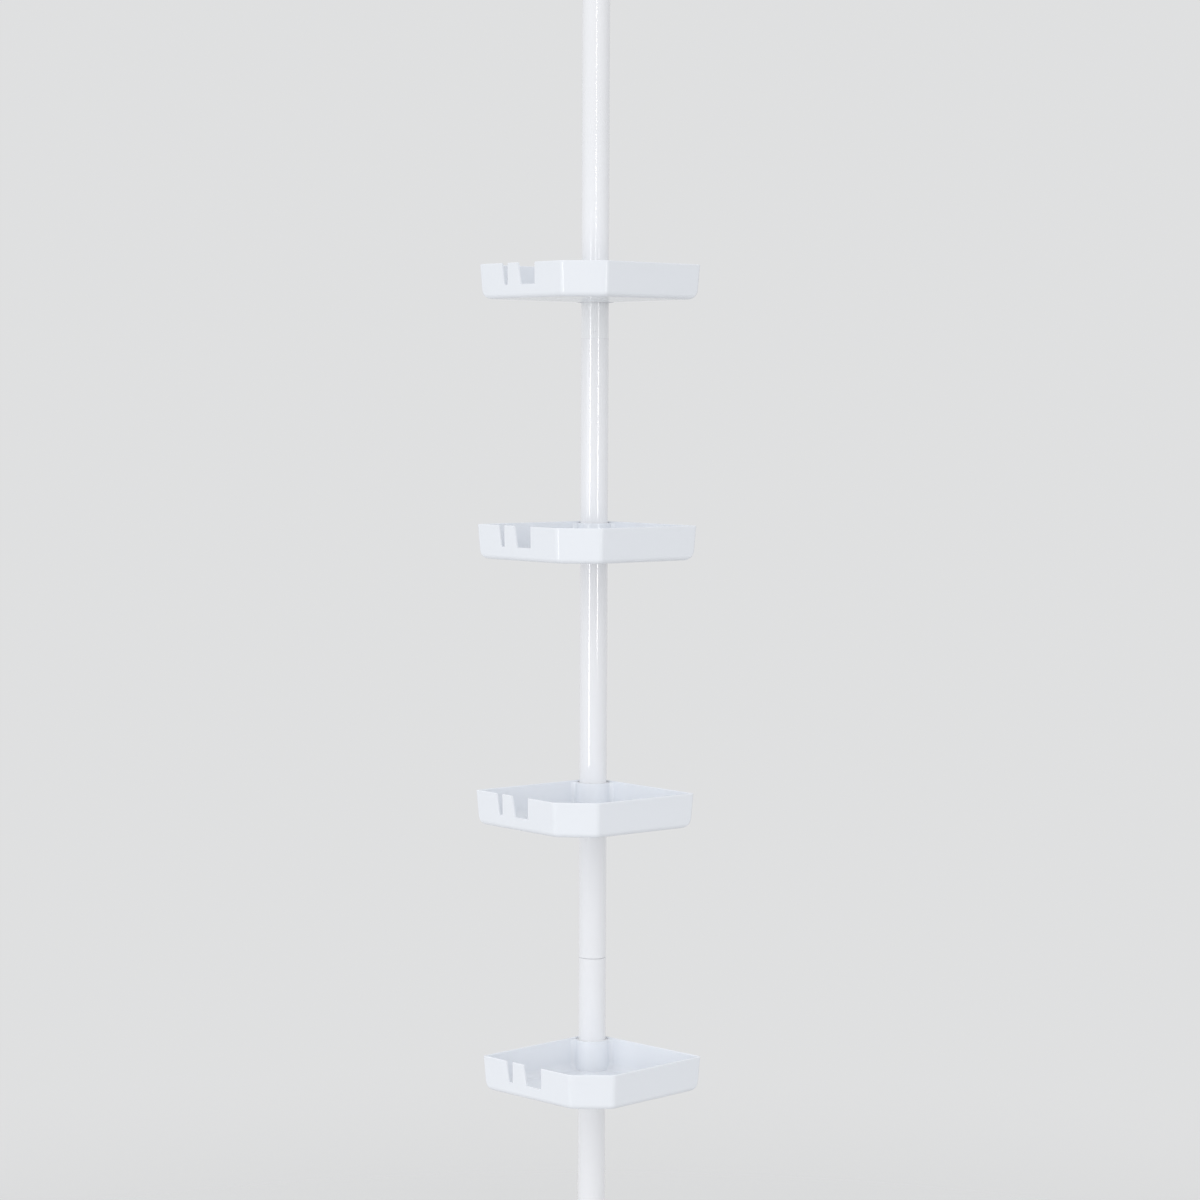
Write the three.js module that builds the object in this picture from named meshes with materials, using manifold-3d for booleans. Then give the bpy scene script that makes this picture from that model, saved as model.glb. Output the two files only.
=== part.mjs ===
// A tension pole shelf unit: a sprung steel pole that carries four corner trays.
// Millimetres, +Z up. The origin is the centre of the foot pad's underside, on the pole's axis.
// The trays' cut-off front corners face -Y.
import * as THREE from 'three';
import { mergeVertices } from 'three/addons/utils/BufferGeometryUtils.js';
import Module from 'manifold-3d';

const wasm = await Module();
wasm.setup();

// Clearances
const SEAT_GAP = 0.3; // between pieces that rest in or on each other
const SLIDE_GAP = 0.25; // round a tube that slides
const OVERRUN = 2; // how far a cutter runs past what it cuts

// Pole: heights above the foot pad's underside
const TUBE_RADIUS = 12.7;
const TUBE_WALL = 0.8;
const SEAM_Z = 593; // butt seam between the lower and the middle tube
const COUPLER_Z = 1164.5; // lower end of the matt coupler's collar
const COUPLER_COLLAR = 36;
const UPPER_TUBE_TOP_Z = 1740;
const NECK_LENGTH = 40; // the lower tube's reduced end, inside the middle tube
const NECK_SHOULDER = 0.8;
const SPIGOT_LENGTH = 34;
const SPIGOT_WALL = 1.8;
const SPIGOT_LEAD = 1.2; // chamfer on a spigot's end
const GATE_MARK_RADIUS = 1.4; // moulding mark on the coupler's collar
const GATE_MARK_DEPTH = 0.5;
const GATE_MARK_RISE = 6.5; // above the collar's lower end

// Extension tube and its twist lock
const EXTENSION_CLEARANCE = 0.8; // all round, inside the upper tube
const EXTENSION_WALL = 0.8;
const EXTENSION_INSIDE = 340; // below the upper tube's end
const EXTENSION_OUTSIDE = 180; // above the upper tube's end
const GLIDE_COLLAR = 10;
const GLIDE_SPIGOT = 16;
const GLIDE_WALL = 2;
const COLLET_SOCKET_DEPTH = 18; // how far it reaches down over the upper tube
const COLLET_WALL = 2;
const COLLET_STEP = 3;
const COLLET_FINGER_LENGTH = 15;
const COLLET_FINGER_BASE = 2.9; // finger thickness at the root
const COLLET_FINGER_TIP = 1.9;
const COLLET_SLIT = 1.6;
const COLLET_SLITS = 4;
const NUT_WALL = 3.3; // round the collet, with the grip ribs
const NUT_RIB_DEPTH = 1.1;
const NUT_RIBS = 16;
const NUT_ROOF = 2.4;
const NUT_BOTTOM_CHAMFER = 1.2;
const NUT_TOP_CHAMFER = 2.2;
const NUT_MOUTH_RISE = 1.5; // of the nut's lower edge above the collet's

// Sprung end
const BUSH_FLANGE = 4;
const BUSH_SPIGOT = 12;
const STEM_SHARE = 0.6; // the plunger's stem, as a share of the piston's radius
const PISTON_HEIGHT = 8;
const PISTON_EDGE = 0.8;
const GUIDE_CLEARANCE = 1.6; // inside the spring
const GUIDE_LENGTH = 26;
const SPRING_LENGTH = 78; // between the seat and the piston
const SPRING_WIRE = 2;
const SPRING_CLEARANCE = 1.7; // inside the extension tube
const SPRING_TURNS = 13;
const SPRING_END_TURNS = 1; // close-wound turns at each end
const SPRING_END_PITCH = 2.7;
const SEAT_HEIGHT = 14;
const SEAT_BORE_RADIUS = 3;
const STEM_EXPOSED = 42; // between the bush and the top cup

// Foot and ceiling ends
const PAD_RADIUS = 25;
const PAD_THICKNESS = 6;
const PAD_EDGE = 1.5;
const PAD_GROOVE_DEPTH = 1.2;
const PAD_GROOVE_WIDTH = 2;
const PAD_GROOVE_INNER_RADIUS = 8;
const PAD_GROOVE_PITCH = 7;
const PAD_GROOVES = 2;
const PAD_BOSS_RADIUS = 7;
const PAD_BOSS_HEIGHT = 5;
const CUP_BASE_RADIUS = 23;
const CUP_RIM = 3;
const CUP_HEIGHT = 34;
const CUP_FLOOR = 8; // above the pad
const CUP_SOCKET_WALL = 2.4;
const CUP_LIP = 1;
const CUP_LAND = 12; // straight stretch below the lip
const TOP_CUP_HEIGHT = 26;
const TOP_CUP_FLOOR = 8;
const TOP_CUP_LAND = 7;

// Trays: the plan is a square with its front corner cut off
const TRAY_SIDE = 140;
const TRAY_CUT = 28; // taken off each side at the front corner
const TRAY_HEIGHT = 31;
const TRAY_WALL = 2;
const TRAY_FLOOR = 2.2;
const DRAFT_SHARE = 0.06; // inward lean of the walls, as a share of the way down
const REAR_WALL_TUCK = 1.3; // how far the rear walls' outsides lie within the hub's bore at its top
const TRAY_FRONT_FILLET = 4; // between the floor and a front wall
const TRAY_REAR_FILLET = 9; // between the floor and a rear wall
const TRAY_FRONT_CORNER = 5.5;
const TRAY_SIDE_CORNER = 3;
const REAR_CORNER_TUCK = 2; // how much smaller the rear corner's rounding is than its distance
const RIM_ROUND = 0.6;
const HUB_TOP_DROP = 1.4; // of the hub's top below the rim
const HUB_TOP_WALL = 1.5;
const HUB_BOTTOM_WALL = 2;
const HUB_EDGE = 0.5;
const HUB_WALL_FILLET = 3.5; // hollow rounding between the hub and each rear wall

// Slots in the left front wall, measured from the left corner along the rim
const SLOT_DEPTH = 19;
const SMALL_SLOT_START = 31.5;
const SMALL_SLOT_TOP_WIDTH = 8;
const SMALL_SLOT_BOTTOM_WIDTH = 4.6;
const LARGE_SLOT_START = 53.5;
const LARGE_SLOT_TOP_WIDTH = 22.5;
const LARGE_SLOT_BOTTOM_WIDTH = 19;

// Round drain holes in the floor, in rows from left to right
const DRAIN_RADIUS = 2.5;
const DRAIN_PITCH = 26; // along a row and from row to row
const DRAIN_REAR_ROW = 52; // pole's axis to the row behind
const DRAIN_ROWS = [3, 4, 3]; // how many holes each row has

// Split clips inside the hubs
const CLIP_TOP_WALL = 1.05; // clip thickness at the height of the hub's top
const CLIP_BOTTOM_WALL = 2.15; // and at the tray's underside
const CLIP_FOOT = 1; // above the tray's underside
const CLIP_TOP_DROP = 0.8; // of the clip's top below the hub's
const CLIP_SPLIT = 1.4; // width of the slit between the halves
const CLIP_LEAD = 0.6;

// Shelf places: rim heights, and how far each tray is turned from square to the front
const LOWEST_RIM_Z = 517.5;
const LOW_GAP = 240;
const MIDDLE_GAP = 239.5;
const HIGH_GAP = 231;
const THIRD_RIM_Z = LOWEST_RIM_Z + LOW_GAP;
const SECOND_RIM_Z = THIRD_RIM_Z + MIDDLE_GAP;
const TOP_RIM_Z = SECOND_RIM_Z + HIGH_GAP;
const SHELVES = [
  { rimZ: TOP_RIM_Z, turnDegrees: 0.5 },
  { rimZ: SECOND_RIM_Z, turnDegrees: -0.8 },
  { rimZ: THIRD_RIM_Z, turnDegrees: -1.5 },
  { rimZ: LOWEST_RIM_Z, turnDegrees: 3.9 },
];

// Facets
const POLE_SIDES = 40;
const HUB_SIDES = 36;
const FILLET_STEPS = 3;
const PAD_SIDES = 32;
const INNER_SIDES = 24; // on pieces that hardly show
const CORNER_STEPS = 4;
const CUT_CORNER_STEPS = 3;
const SPRING_STEPS = 8; // along each turn
const SPRING_SIDES = 5;
const FLARE_STEPS = 5;
const DRAIN_SIDES = 8;
const MARK_SIDES = 10;

// Finishes
const FINISHES = {
  paint: { color: 0xe9eaee, roughness: 0.22, metalness: 0 },
  tray: { color: 0xeaeef4, roughness: 0.18, metalness: 0 },
  fitting: { color: 0xe6e8ec, roughness: 0.42, metalness: 0 },
  rubber: { color: 0xd9dadc, roughness: 0.85, metalness: 0 },
  steel: { color: 0xb9bcc2, roughness: 0.3, metalness: 1 },
  zincSteel: { color: 0xc6c9ce, roughness: 0.38, metalness: 1 },
};

const unit = new THREE.Group();

function add(name, finish, geometry, parent = unit) {
  const mesh = new THREE.Mesh(geometry, new THREE.MeshStandardMaterial(FINISHES[finish]));
  mesh.name = name;
  parent.add(mesh);
  return mesh;
}

// Solids: a closed geometry as a manifold, and back again
function solid(geometry) {
  const bare = geometry.index ? geometry.clone() : mergeVertices(geometry);
  bare.deleteAttribute('normal');
  bare.deleteAttribute('uv');
  const merged = mergeVertices(bare);
  return new wasm.Manifold(new wasm.Mesh({
    numProp: 3,
    vertProperties: new Float32Array(merged.attributes.position.array),
    triVerts: new Uint32Array(merged.index.array),
  }));
}

function geometryOf(manifold) {
  const mesh = manifold.getMesh();
  const geometry = new THREE.BufferGeometry();
  const positions = new THREE.BufferAttribute(new Float32Array(mesh.vertProperties), 3);
  geometry.setAttribute('position', positions);
  geometry.setIndex(new THREE.BufferAttribute(new Uint32Array(mesh.triVerts), 1));
  return geometry;
}

// A turned piece round the Z axis. The profile's points are [radius, z], anticlockwise
// with radius to the right and z up, and it closes on itself.
function turned(profile, sides = POLE_SIDES) {
  const points = profile.map(([radius, z]) => new THREE.Vector2(radius, z));
  const onAxis = profile[0][0] === 0 && profile.at(-1)[0] === 0;
  if (!onAxis) points.push(points[0].clone());
  return new THREE.LatheGeometry(points, sides).rotateX(Math.PI / 2);
}

function ring(innerRadius, outerRadius, bottom, top, sides = POLE_SIDES) {
  return turned([
    [innerRadius, bottom], [outerRadius, bottom], [outerRadius, top], [innerRadius, top],
  ], sides);
}

// A round plug or a truncated cone, as a cutter
function cone(bottomRadius, topRadius, bottom, top, sides = POLE_SIDES) {
  return turned([[0, bottom], [bottomRadius, bottom], [topRadius, top], [0, top]], sides);
}

function block(sizeX, sizeY, sizeZ, x, y, z) {
  return new THREE.BoxGeometry(sizeX, sizeY, sizeZ).translate(x, y, z);
}

// Shared derived sizes
const tubeBore = TUBE_RADIUS - TUBE_WALL;
const spigotRadius = tubeBore - SEAT_GAP;
const extensionRadius = tubeBore - EXTENSION_CLEARANCE;
const extensionBore = extensionRadius - EXTENSION_WALL;
const plugRadius = extensionBore - SEAT_GAP; // what fits inside the extension tube
const stemRadius = plugRadius * STEM_SHARE;
const extensionBottomZ = UPPER_TUBE_TOP_Z - EXTENSION_INSIDE;
const extensionTopZ = UPPER_TUBE_TOP_Z + EXTENSION_OUTSIDE;
const couplerTopZ = COUPLER_Z + COUPLER_COLLAR;
const footTubeZ = PAD_THICKNESS + SEAT_GAP + CUP_FLOOR + SEAT_GAP;

// Pole sections
function lowerTube() {
  const shoulderZ = SEAM_Z - SEAT_GAP - NECK_SHOULDER;
  const neckBore = spigotRadius - TUBE_WALL;
  const neckTop = SEAM_Z + NECK_LENGTH;
  return turned([
    [tubeBore, footTubeZ], [TUBE_RADIUS, footTubeZ], [TUBE_RADIUS, shoulderZ + NECK_SHOULDER / 2],
    [TUBE_RADIUS - TUBE_WALL / 2, SEAM_Z - SEAT_GAP], [spigotRadius, SEAM_Z],
    [spigotRadius, neckTop - SPIGOT_LEAD], [spigotRadius - TUBE_WALL / 2, neckTop], [neckBore, neckTop],
    [neckBore, shoulderZ], [tubeBore, shoulderZ - NECK_SHOULDER],
  ]);
}

function middleTube() {
  return ring(tubeBore, TUBE_RADIUS, SEAM_Z + SEAT_GAP / 2, COUPLER_Z - SEAT_GAP);
}

function upperTube() {
  return ring(tubeBore, TUBE_RADIUS, couplerTopZ + SEAT_GAP, UPPER_TUBE_TOP_Z);
}

function jointCoupler() {
  const bore = spigotRadius - SPIGOT_WALL;
  const bottom = COUPLER_Z - SPIGOT_LENGTH;
  const top = couplerTopZ + SPIGOT_LENGTH;
  const body = solid(turned([
    [bore, bottom], [spigotRadius - SPIGOT_LEAD / 2, bottom], [spigotRadius, bottom + SPIGOT_LEAD],
    [spigotRadius, COUPLER_Z], [TUBE_RADIUS, COUPLER_Z], [TUBE_RADIUS, couplerTopZ],
    [spigotRadius, couplerTopZ], [spigotRadius, top - SPIGOT_LEAD],
    [spigotRadius - SPIGOT_LEAD / 2, top], [bore, top],
  ]));
  const markDepth = GATE_MARK_DEPTH + OVERRUN;
  const mark = new THREE.CylinderGeometry(GATE_MARK_RADIUS, GATE_MARK_RADIUS, markDepth, MARK_SIDES)
    .translate(0, GATE_MARK_DEPTH - markDepth / 2 - TUBE_RADIUS, COUPLER_Z + GATE_MARK_RISE);
  return geometryOf(body.subtract(solid(mark)));
}

// Foot and ceiling ends: the pad is drawn with its tread down and its boss up
function pad() {
  const grooves = [];
  for (let i = PAD_GROOVES - 1; i >= 0; i -= 1) {
    const inner = PAD_GROOVE_INNER_RADIUS + i * PAD_GROOVE_PITCH - PAD_GROOVE_WIDTH / 2;
    const outer = inner + PAD_GROOVE_WIDTH;
    grooves.unshift([inner, 0], [inner, PAD_GROOVE_DEPTH], [outer, PAD_GROOVE_DEPTH], [outer, 0]);
  }
  const bossTop = PAD_THICKNESS + PAD_BOSS_HEIGHT;
  return turned([
    [0, 0], ...grooves, [PAD_RADIUS - PAD_EDGE, 0], [PAD_RADIUS, PAD_EDGE],
    [PAD_RADIUS, PAD_THICKNESS - PAD_EDGE], [PAD_RADIUS - PAD_EDGE, PAD_THICKNESS],
    [PAD_BOSS_RADIUS, PAD_THICKNESS], [PAD_BOSS_RADIUS, bossTop], [0, bossTop],
  ], PAD_SIDES);
}

// A flared cup that stands on the pad: its socket takes a tube or stem of the given radius
function cup(socketRadius, height, floor, land) {
  const bottom = PAD_THICKNESS + SEAT_GAP;
  const bore = socketRadius + SEAT_GAP;
  const neck = bore + CUP_SOCKET_WALL;
  const top = bottom + height;
  const flareBottom = bottom + CUP_RIM;
  const flareTop = top - land;
  const flare = [];
  for (let i = 0; i <= FLARE_STEPS; i += 1) {
    const angle = (i / FLARE_STEPS) * Math.PI / 2;
    flare.push([
      CUP_BASE_RADIUS - CUP_LIP - (CUP_BASE_RADIUS - CUP_LIP - neck) * Math.sin(angle),
      flareTop - (flareTop - flareBottom) * Math.cos(angle),
    ]);
  }
  const recess = PAD_BOSS_RADIUS + SEAT_GAP;
  const recessTop = PAD_THICKNESS + PAD_BOSS_HEIGHT + SEAT_GAP;
  return turned([
    [0, recessTop], [recess, recessTop], [recess, bottom], [CUP_BASE_RADIUS, bottom],
    [CUP_BASE_RADIUS, flareBottom - CUP_LIP], ...flare, [neck, top - CUP_LIP],
    [neck - CUP_LIP, top], [bore, top], [bore, bottom + floor], [0, bottom + floor],
  ], PAD_SIDES);
}

// Twist lock: a collet that sits on the upper tube's end, and the ribbed nut that closes it
const colletSocket = TUBE_RADIUS + SEAT_GAP;
const colletBottom = UPPER_TUBE_TOP_Z - COLLET_SOCKET_DEPTH;
const colletStepTop = UPPER_TUBE_TOP_Z + SEAT_GAP + COLLET_STEP;
const colletTop = colletStepTop + COLLET_FINGER_LENGTH;
const colletBore = extensionRadius + SLIDE_GAP;
const fingerRoot = colletBore + COLLET_FINGER_BASE;
const fingerTip = colletBore + COLLET_FINGER_TIP;
const nutChamber = colletSocket + COLLET_WALL + SEAT_GAP;
const nutRadius = nutChamber + NUT_WALL;

function lockCollet() {
  const outer = colletSocket + COLLET_WALL;
  let body = solid(turned([
    [colletSocket, colletBottom], [outer, colletBottom], [outer, colletStepTop],
    [fingerRoot, colletStepTop], [fingerTip, colletTop], [colletBore, colletTop],
    [colletBore, UPPER_TUBE_TOP_Z + SEAT_GAP], [colletSocket, UPPER_TUBE_TOP_Z + SEAT_GAP],
  ]));
  const slitHeight = COLLET_FINGER_LENGTH + OVERRUN;
  for (let i = 0; i < COLLET_SLITS; i += 1) {
    const slit = block(outer, COLLET_SLIT, slitHeight, outer / 2, 0, colletStepTop + slitHeight / 2);
    slit.rotateZ(((i + 1 / 2) / COLLET_SLITS) * 2 * Math.PI);
    body = body.subtract(solid(slit));
  }
  return geometryOf(body);
}

function lockNut() {
  const bottom = colletBottom + NUT_MOUTH_RISE;
  const roof = colletTop + SEAT_GAP;
  const top = roof + NUT_ROOF;
  const shape = new THREE.Shape();
  const toothStep = (2 * Math.PI) / NUT_RIBS;
  const shares = [-0.32, -0.2, 0.2, 0.32]; // a rib's four points, as shares of its pitch
  for (let i = 0; i < NUT_RIBS; i += 1) {
    shares.forEach((share, j) => {
      const radius = j === 1 || j === 2 ? nutRadius : nutRadius - NUT_RIB_DEPTH;
      const angle = (i + share) * toothStep;
      if (i === 0 && j === 0) shape.moveTo(radius * Math.cos(angle), radius * Math.sin(angle));
      else shape.lineTo(radius * Math.cos(angle), radius * Math.sin(angle));
    });
  }
  shape.closePath();
  const ribbed = new THREE.ExtrudeGeometry(shape, { depth: top - bottom, bevelEnabled: false })
    .translate(0, 0, bottom);
  const envelope = turned([
    [0, bottom], [nutRadius - NUT_BOTTOM_CHAMFER, bottom], [nutRadius, bottom + NUT_BOTTOM_CHAMFER],
    [nutRadius, top - NUT_TOP_CHAMFER], [nutRadius - NUT_TOP_CHAMFER, top], [0, top],
  ]);
  const chamber = turned([
    [0, bottom - OVERRUN], [nutChamber, bottom - OVERRUN], [nutChamber, colletStepTop + SEAT_GAP],
    [fingerRoot + SEAT_GAP, colletStepTop + SEAT_GAP], [fingerTip + SEAT_GAP, roof],
    [colletBore, roof], [colletBore, top + OVERRUN], [0, top + OVERRUN],
  ]);
  return geometryOf(solid(ribbed).intersect(solid(envelope)).subtract(solid(chamber)));
}

// Extension tube, with the glide on its lower end and the bush in its upper end
function extensionTube() {
  return ring(extensionBore, extensionRadius, extensionBottomZ, extensionTopZ);
}

function tubeGlide() {
  const collarTop = extensionBottomZ - SEAT_GAP;
  const bottom = collarTop - GLIDE_COLLAR;
  const collarRadius = tubeBore - SLIDE_GAP;
  const top = extensionBottomZ + GLIDE_SPIGOT;
  return turned([
    [plugRadius - GLIDE_WALL, bottom], [collarRadius - SPIGOT_LEAD, bottom],
    [collarRadius, bottom + SPIGOT_LEAD], [collarRadius, collarTop], [plugRadius, collarTop],
    [plugRadius, top], [plugRadius - GLIDE_WALL, top],
  ], INNER_SIDES);
}

const bushBottom = extensionTopZ - BUSH_SPIGOT;
const bushTop = extensionTopZ + SEAT_GAP + BUSH_FLANGE;
const pistonTop = bushBottom - SEAT_GAP;
const pistonBottom = pistonTop - PISTON_HEIGHT;
const springTop = pistonBottom - SEAT_GAP;
const springBottom = springTop - SPRING_LENGTH;
const seatTop = springBottom - SEAT_GAP;
const coilRadius = extensionBore - SPRING_CLEARANCE - SPRING_WIRE / 2; // to the wire's centre
const guideRadius = coilRadius - SPRING_WIRE / 2 - GUIDE_CLEARANCE;

function topBush() {
  const bore = stemRadius + SLIDE_GAP;
  return turned([
    [bore, bushBottom], [plugRadius, bushBottom], [plugRadius, extensionTopZ + SEAT_GAP],
    [extensionRadius, extensionTopZ + SEAT_GAP], [extensionRadius, bushTop - PISTON_EDGE],
    [extensionRadius - PISTON_EDGE, bushTop], [bore, bushTop],
  ], INNER_SIDES);
}

function springSeat() {
  const bottom = seatTop - SEAT_HEIGHT;
  return ring(SEAT_BORE_RADIUS, plugRadius, bottom, seatTop, INNER_SIDES);
}

// The top cup hangs upside down from the top pad, so its height fixes the whole length
const cupTop = bushTop + STEM_EXPOSED + TOP_CUP_HEIGHT + SEAT_GAP;
const unitHeight = cupTop + PAD_THICKNESS;
const stemTop = unitHeight - PAD_THICKNESS - SEAT_GAP - TOP_CUP_FLOOR - SEAT_GAP;

function plunger() {
  const guideBottom = pistonBottom - GUIDE_LENGTH;
  return turned([
    [0, guideBottom], [guideRadius - PISTON_EDGE, guideBottom], [guideRadius, guideBottom + PISTON_EDGE],
    [guideRadius, pistonBottom], [plugRadius - PISTON_EDGE, pistonBottom],
    [plugRadius, pistonBottom + PISTON_EDGE], [plugRadius, pistonTop - PISTON_EDGE],
    [plugRadius - PISTON_EDGE, pistonTop], [stemRadius, pistonTop],
    [stemRadius, stemTop - PISTON_EDGE], [stemRadius - PISTON_EDGE, stemTop], [0, stemTop],
  ], INNER_SIDES);
}

// Compression spring: one wire on a helix, close-wound at both ends
function springCentre(turn) {
  const wireRadius = SPRING_WIRE / 2;
  const endRise = SPRING_END_TURNS * SPRING_END_PITCH;
  const openTurns = SPRING_TURNS - 2 * SPRING_END_TURNS;
  const openRise = SPRING_LENGTH - SPRING_WIRE - 2 * endRise;
  let rise;
  if (turn < SPRING_END_TURNS) rise = turn * SPRING_END_PITCH;
  else if (turn > SPRING_TURNS - SPRING_END_TURNS) {
    rise = endRise + openRise + (turn - (SPRING_TURNS - SPRING_END_TURNS)) * SPRING_END_PITCH;
  } else rise = endRise + ((turn - SPRING_END_TURNS) / openTurns) * openRise;
  const angle = turn * 2 * Math.PI;
  return new THREE.Vector3(
    coilRadius * Math.cos(angle),
    coilRadius * Math.sin(angle),
    springBottom + wireRadius + rise,
  );
}

function tensionSpring() {
  const steps = SPRING_TURNS * SPRING_STEPS;
  const centres = [];
  for (let i = 0; i <= steps; i += 1) centres.push(springCentre(i / SPRING_STEPS));
  const positions = [];
  centres.forEach((centre, i) => {
    const outward = new THREE.Vector3(centre.x, centre.y, 0).normalize();
    const ahead = centres[Math.min(i + 1, steps)].clone().sub(centres[Math.max(i - 1, 0)]);
    const across = ahead.normalize().cross(outward).normalize();
    const side = across.clone().cross(ahead).normalize();
    for (let j = 0; j < SPRING_SIDES; j += 1) {
      const angle = (j / SPRING_SIDES) * 2 * Math.PI;
      const point = centre.clone()
        .addScaledVector(side, (SPRING_WIRE / 2) * Math.cos(angle))
        .addScaledVector(across, (SPRING_WIRE / 2) * Math.sin(angle));
      positions.push(point.x, point.y, point.z);
    }
  });
  const indices = [];
  for (let i = 0; i < steps; i += 1) {
    for (let j = 0; j < SPRING_SIDES; j += 1) {
      const next = (j + 1) % SPRING_SIDES;
      const a = i * SPRING_SIDES + j;
      const b = i * SPRING_SIDES + next;
      indices.push(a, b, a + SPRING_SIDES, b, b + SPRING_SIDES, a + SPRING_SIDES);
    }
  }
  for (let j = 1; j < SPRING_SIDES - 1; j += 1) {
    const last = steps * SPRING_SIDES;
    indices.push(0, j + 1, j, last, last + j, last + j + 1);
  }
  const geometry = new THREE.BufferGeometry();
  geometry.setAttribute('position', new THREE.Float32BufferAttribute(positions, 3));
  geometry.setIndex(indices);
  let leastGap = Infinity;
  for (let i = 0; i <= steps; i += 1) {
    for (let k = i + SPRING_STEPS - 1; k <= steps; k += 1) {
      leastGap = Math.min(leastGap, centres[i].distanceTo(centres[k]) - SPRING_WIRE);
    }
  }
  console.log(`tension spring: least gap to itself ${leastGap.toFixed(2)} mm`);
  return geometry;
}

// Trays. The plan is drawn along the two rear walls: "left" runs from the rear corner to the
// left one, "right" to the right one, and the pole's axis is at zero.
// The hub's tapered bore takes the clip, and the clip takes the pole.
const hubTop = TRAY_HEIGHT - HUB_TOP_DROP;
const clipBore = TUBE_RADIUS + SLIDE_GAP;
const boreTopRadius = clipBore + CLIP_TOP_WALL + SEAT_GAP;
const boreBottomRadius = clipBore + CLIP_BOTTOM_WALL + SEAT_GAP;
const hubTopRadius = boreTopRadius + HUB_TOP_WALL;
const hubBottomRadius = boreBottomRadius + HUB_BOTTOM_WALL;
const rearOffset = boreTopRadius - REAR_WALL_TUCK; // pole's axis to the outside of each rear wall
const rearCorner = rearOffset - REAR_CORNER_TUCK;
const reach = TRAY_SIDE - rearOffset; // pole's axis to the outside of a front wall
const cutReach = (2 * reach - TRAY_CUT) / Math.SQRT2;

// The five sides, anticlockwise: facing angle, distance from the pole's axis, whether it is a
// rear one, and the rounding and steps of the corner that follows it
const SIDES = [
  { degrees: -90, distance: rearOffset, rear: true, round: TRAY_SIDE_CORNER, steps: CORNER_STEPS },
  { degrees: 0, distance: reach, rear: false, round: TRAY_FRONT_CORNER, steps: CUT_CORNER_STEPS },
  { degrees: 45, distance: cutReach, rear: false, round: TRAY_FRONT_CORNER, steps: CUT_CORNER_STEPS },
  { degrees: 90, distance: reach, rear: false, round: TRAY_SIDE_CORNER, steps: CORNER_STEPS },
  { degrees: 180, distance: rearOffset, rear: true, round: rearCorner, steps: CORNER_STEPS },
];

// The plan's outline with the front and rear sides moved inward by their own amounts
function trayOutline(frontInset, rearInset, roundInset) {
  const points = [];
  SIDES.forEach((side, i) => {
    const next = SIDES[(i + 1) % SIDES.length];
    const round = side.round - roundInset;
    const a1 = THREE.MathUtils.degToRad(side.degrees);
    const turn = THREE.MathUtils.degToRad((next.degrees - side.degrees + 360) % 360);
    const d1 = side.distance - (side.rear ? rearInset : frontInset) - round;
    const d2 = next.distance - (next.rear ? rearInset : frontInset) - round;
    // the rounding's centre lies d1 along one facing direction and d2 along the next
    const a2 = a1 + turn;
    const span = Math.sin(turn);
    const x = (d1 * Math.sin(a2) - d2 * Math.sin(a1)) / span;
    const y = (d2 * Math.cos(a1) - d1 * Math.cos(a2)) / span;
    for (let k = 0; k <= side.steps; k += 1) {
      const angle = a1 + (turn * k) / side.steps;
      points.push([x + round * Math.cos(angle), y + round * Math.sin(angle)]);
    }
  });
  return points;
}

// How far the fillet at the floor draws a wall in, at a height above the fillet's foot
function filletInset(radius, height) {
  const left = Math.max(radius - height, 0);
  return radius - Math.sqrt(radius * radius - left * left);
}

// A closed solid through a stack of outlines with equal numbers of points
function loft(levels) {
  const count = levels[0].outline.length;
  const positions = levels.flatMap(({ outline, z }) => outline.flatMap(([x, y]) => [x, y, z]));
  const indices = [];
  for (let i = 0; i < levels.length - 1; i += 1) {
    for (let j = 0; j < count; j += 1) {
      const a = i * count + j;
      const b = i * count + ((j + 1) % count);
      indices.push(a, b, b + count, a, b + count, a + count);
    }
  }
  const flat = (outline) => outline.map(([x, y]) => new THREE.Vector2(x, y));
  const last = (levels.length - 1) * count;
  THREE.ShapeUtils.triangulateShape(flat(levels[0].outline), [])
    .forEach(([a, b, c]) => indices.push(a, c, b));
  THREE.ShapeUtils.triangulateShape(flat(levels.at(-1).outline), [])
    .forEach(([a, b, c]) => indices.push(last + a, last + b, last + c));
  const geometry = new THREE.BufferGeometry();
  geometry.setAttribute('position', new THREE.Float32BufferAttribute(positions, 3));
  geometry.setIndex(indices);
  return geometry;
}

const FILLET_LEVEL_SHARES = [0, 0.04, 0.14, 0.3, 0.5, 0.75, 1]; // of the rear fillet's radius

function trayOuter() {
  const levels = FILLET_LEVEL_SHARES.map((share) => share * TRAY_REAR_FILLET).map((z) => {
    const draft = DRAFT_SHARE * (TRAY_HEIGHT - z);
    const frontInset = draft + filletInset(TRAY_FRONT_FILLET, z);
    const rearInset = draft + filletInset(TRAY_REAR_FILLET, z);
    return { z, outline: trayOutline(frontInset, rearInset, 0) };
  });
  const rimZ = TRAY_HEIGHT - RIM_ROUND;
  const rimInset = DRAFT_SHARE * RIM_ROUND;
  levels.push({ z: rimZ, outline: trayOutline(rimInset, rimInset, 0) });
  levels.push({ z: TRAY_HEIGHT, outline: trayOutline(RIM_ROUND, RIM_ROUND, RIM_ROUND) });
  return loft(levels);
}

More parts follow.
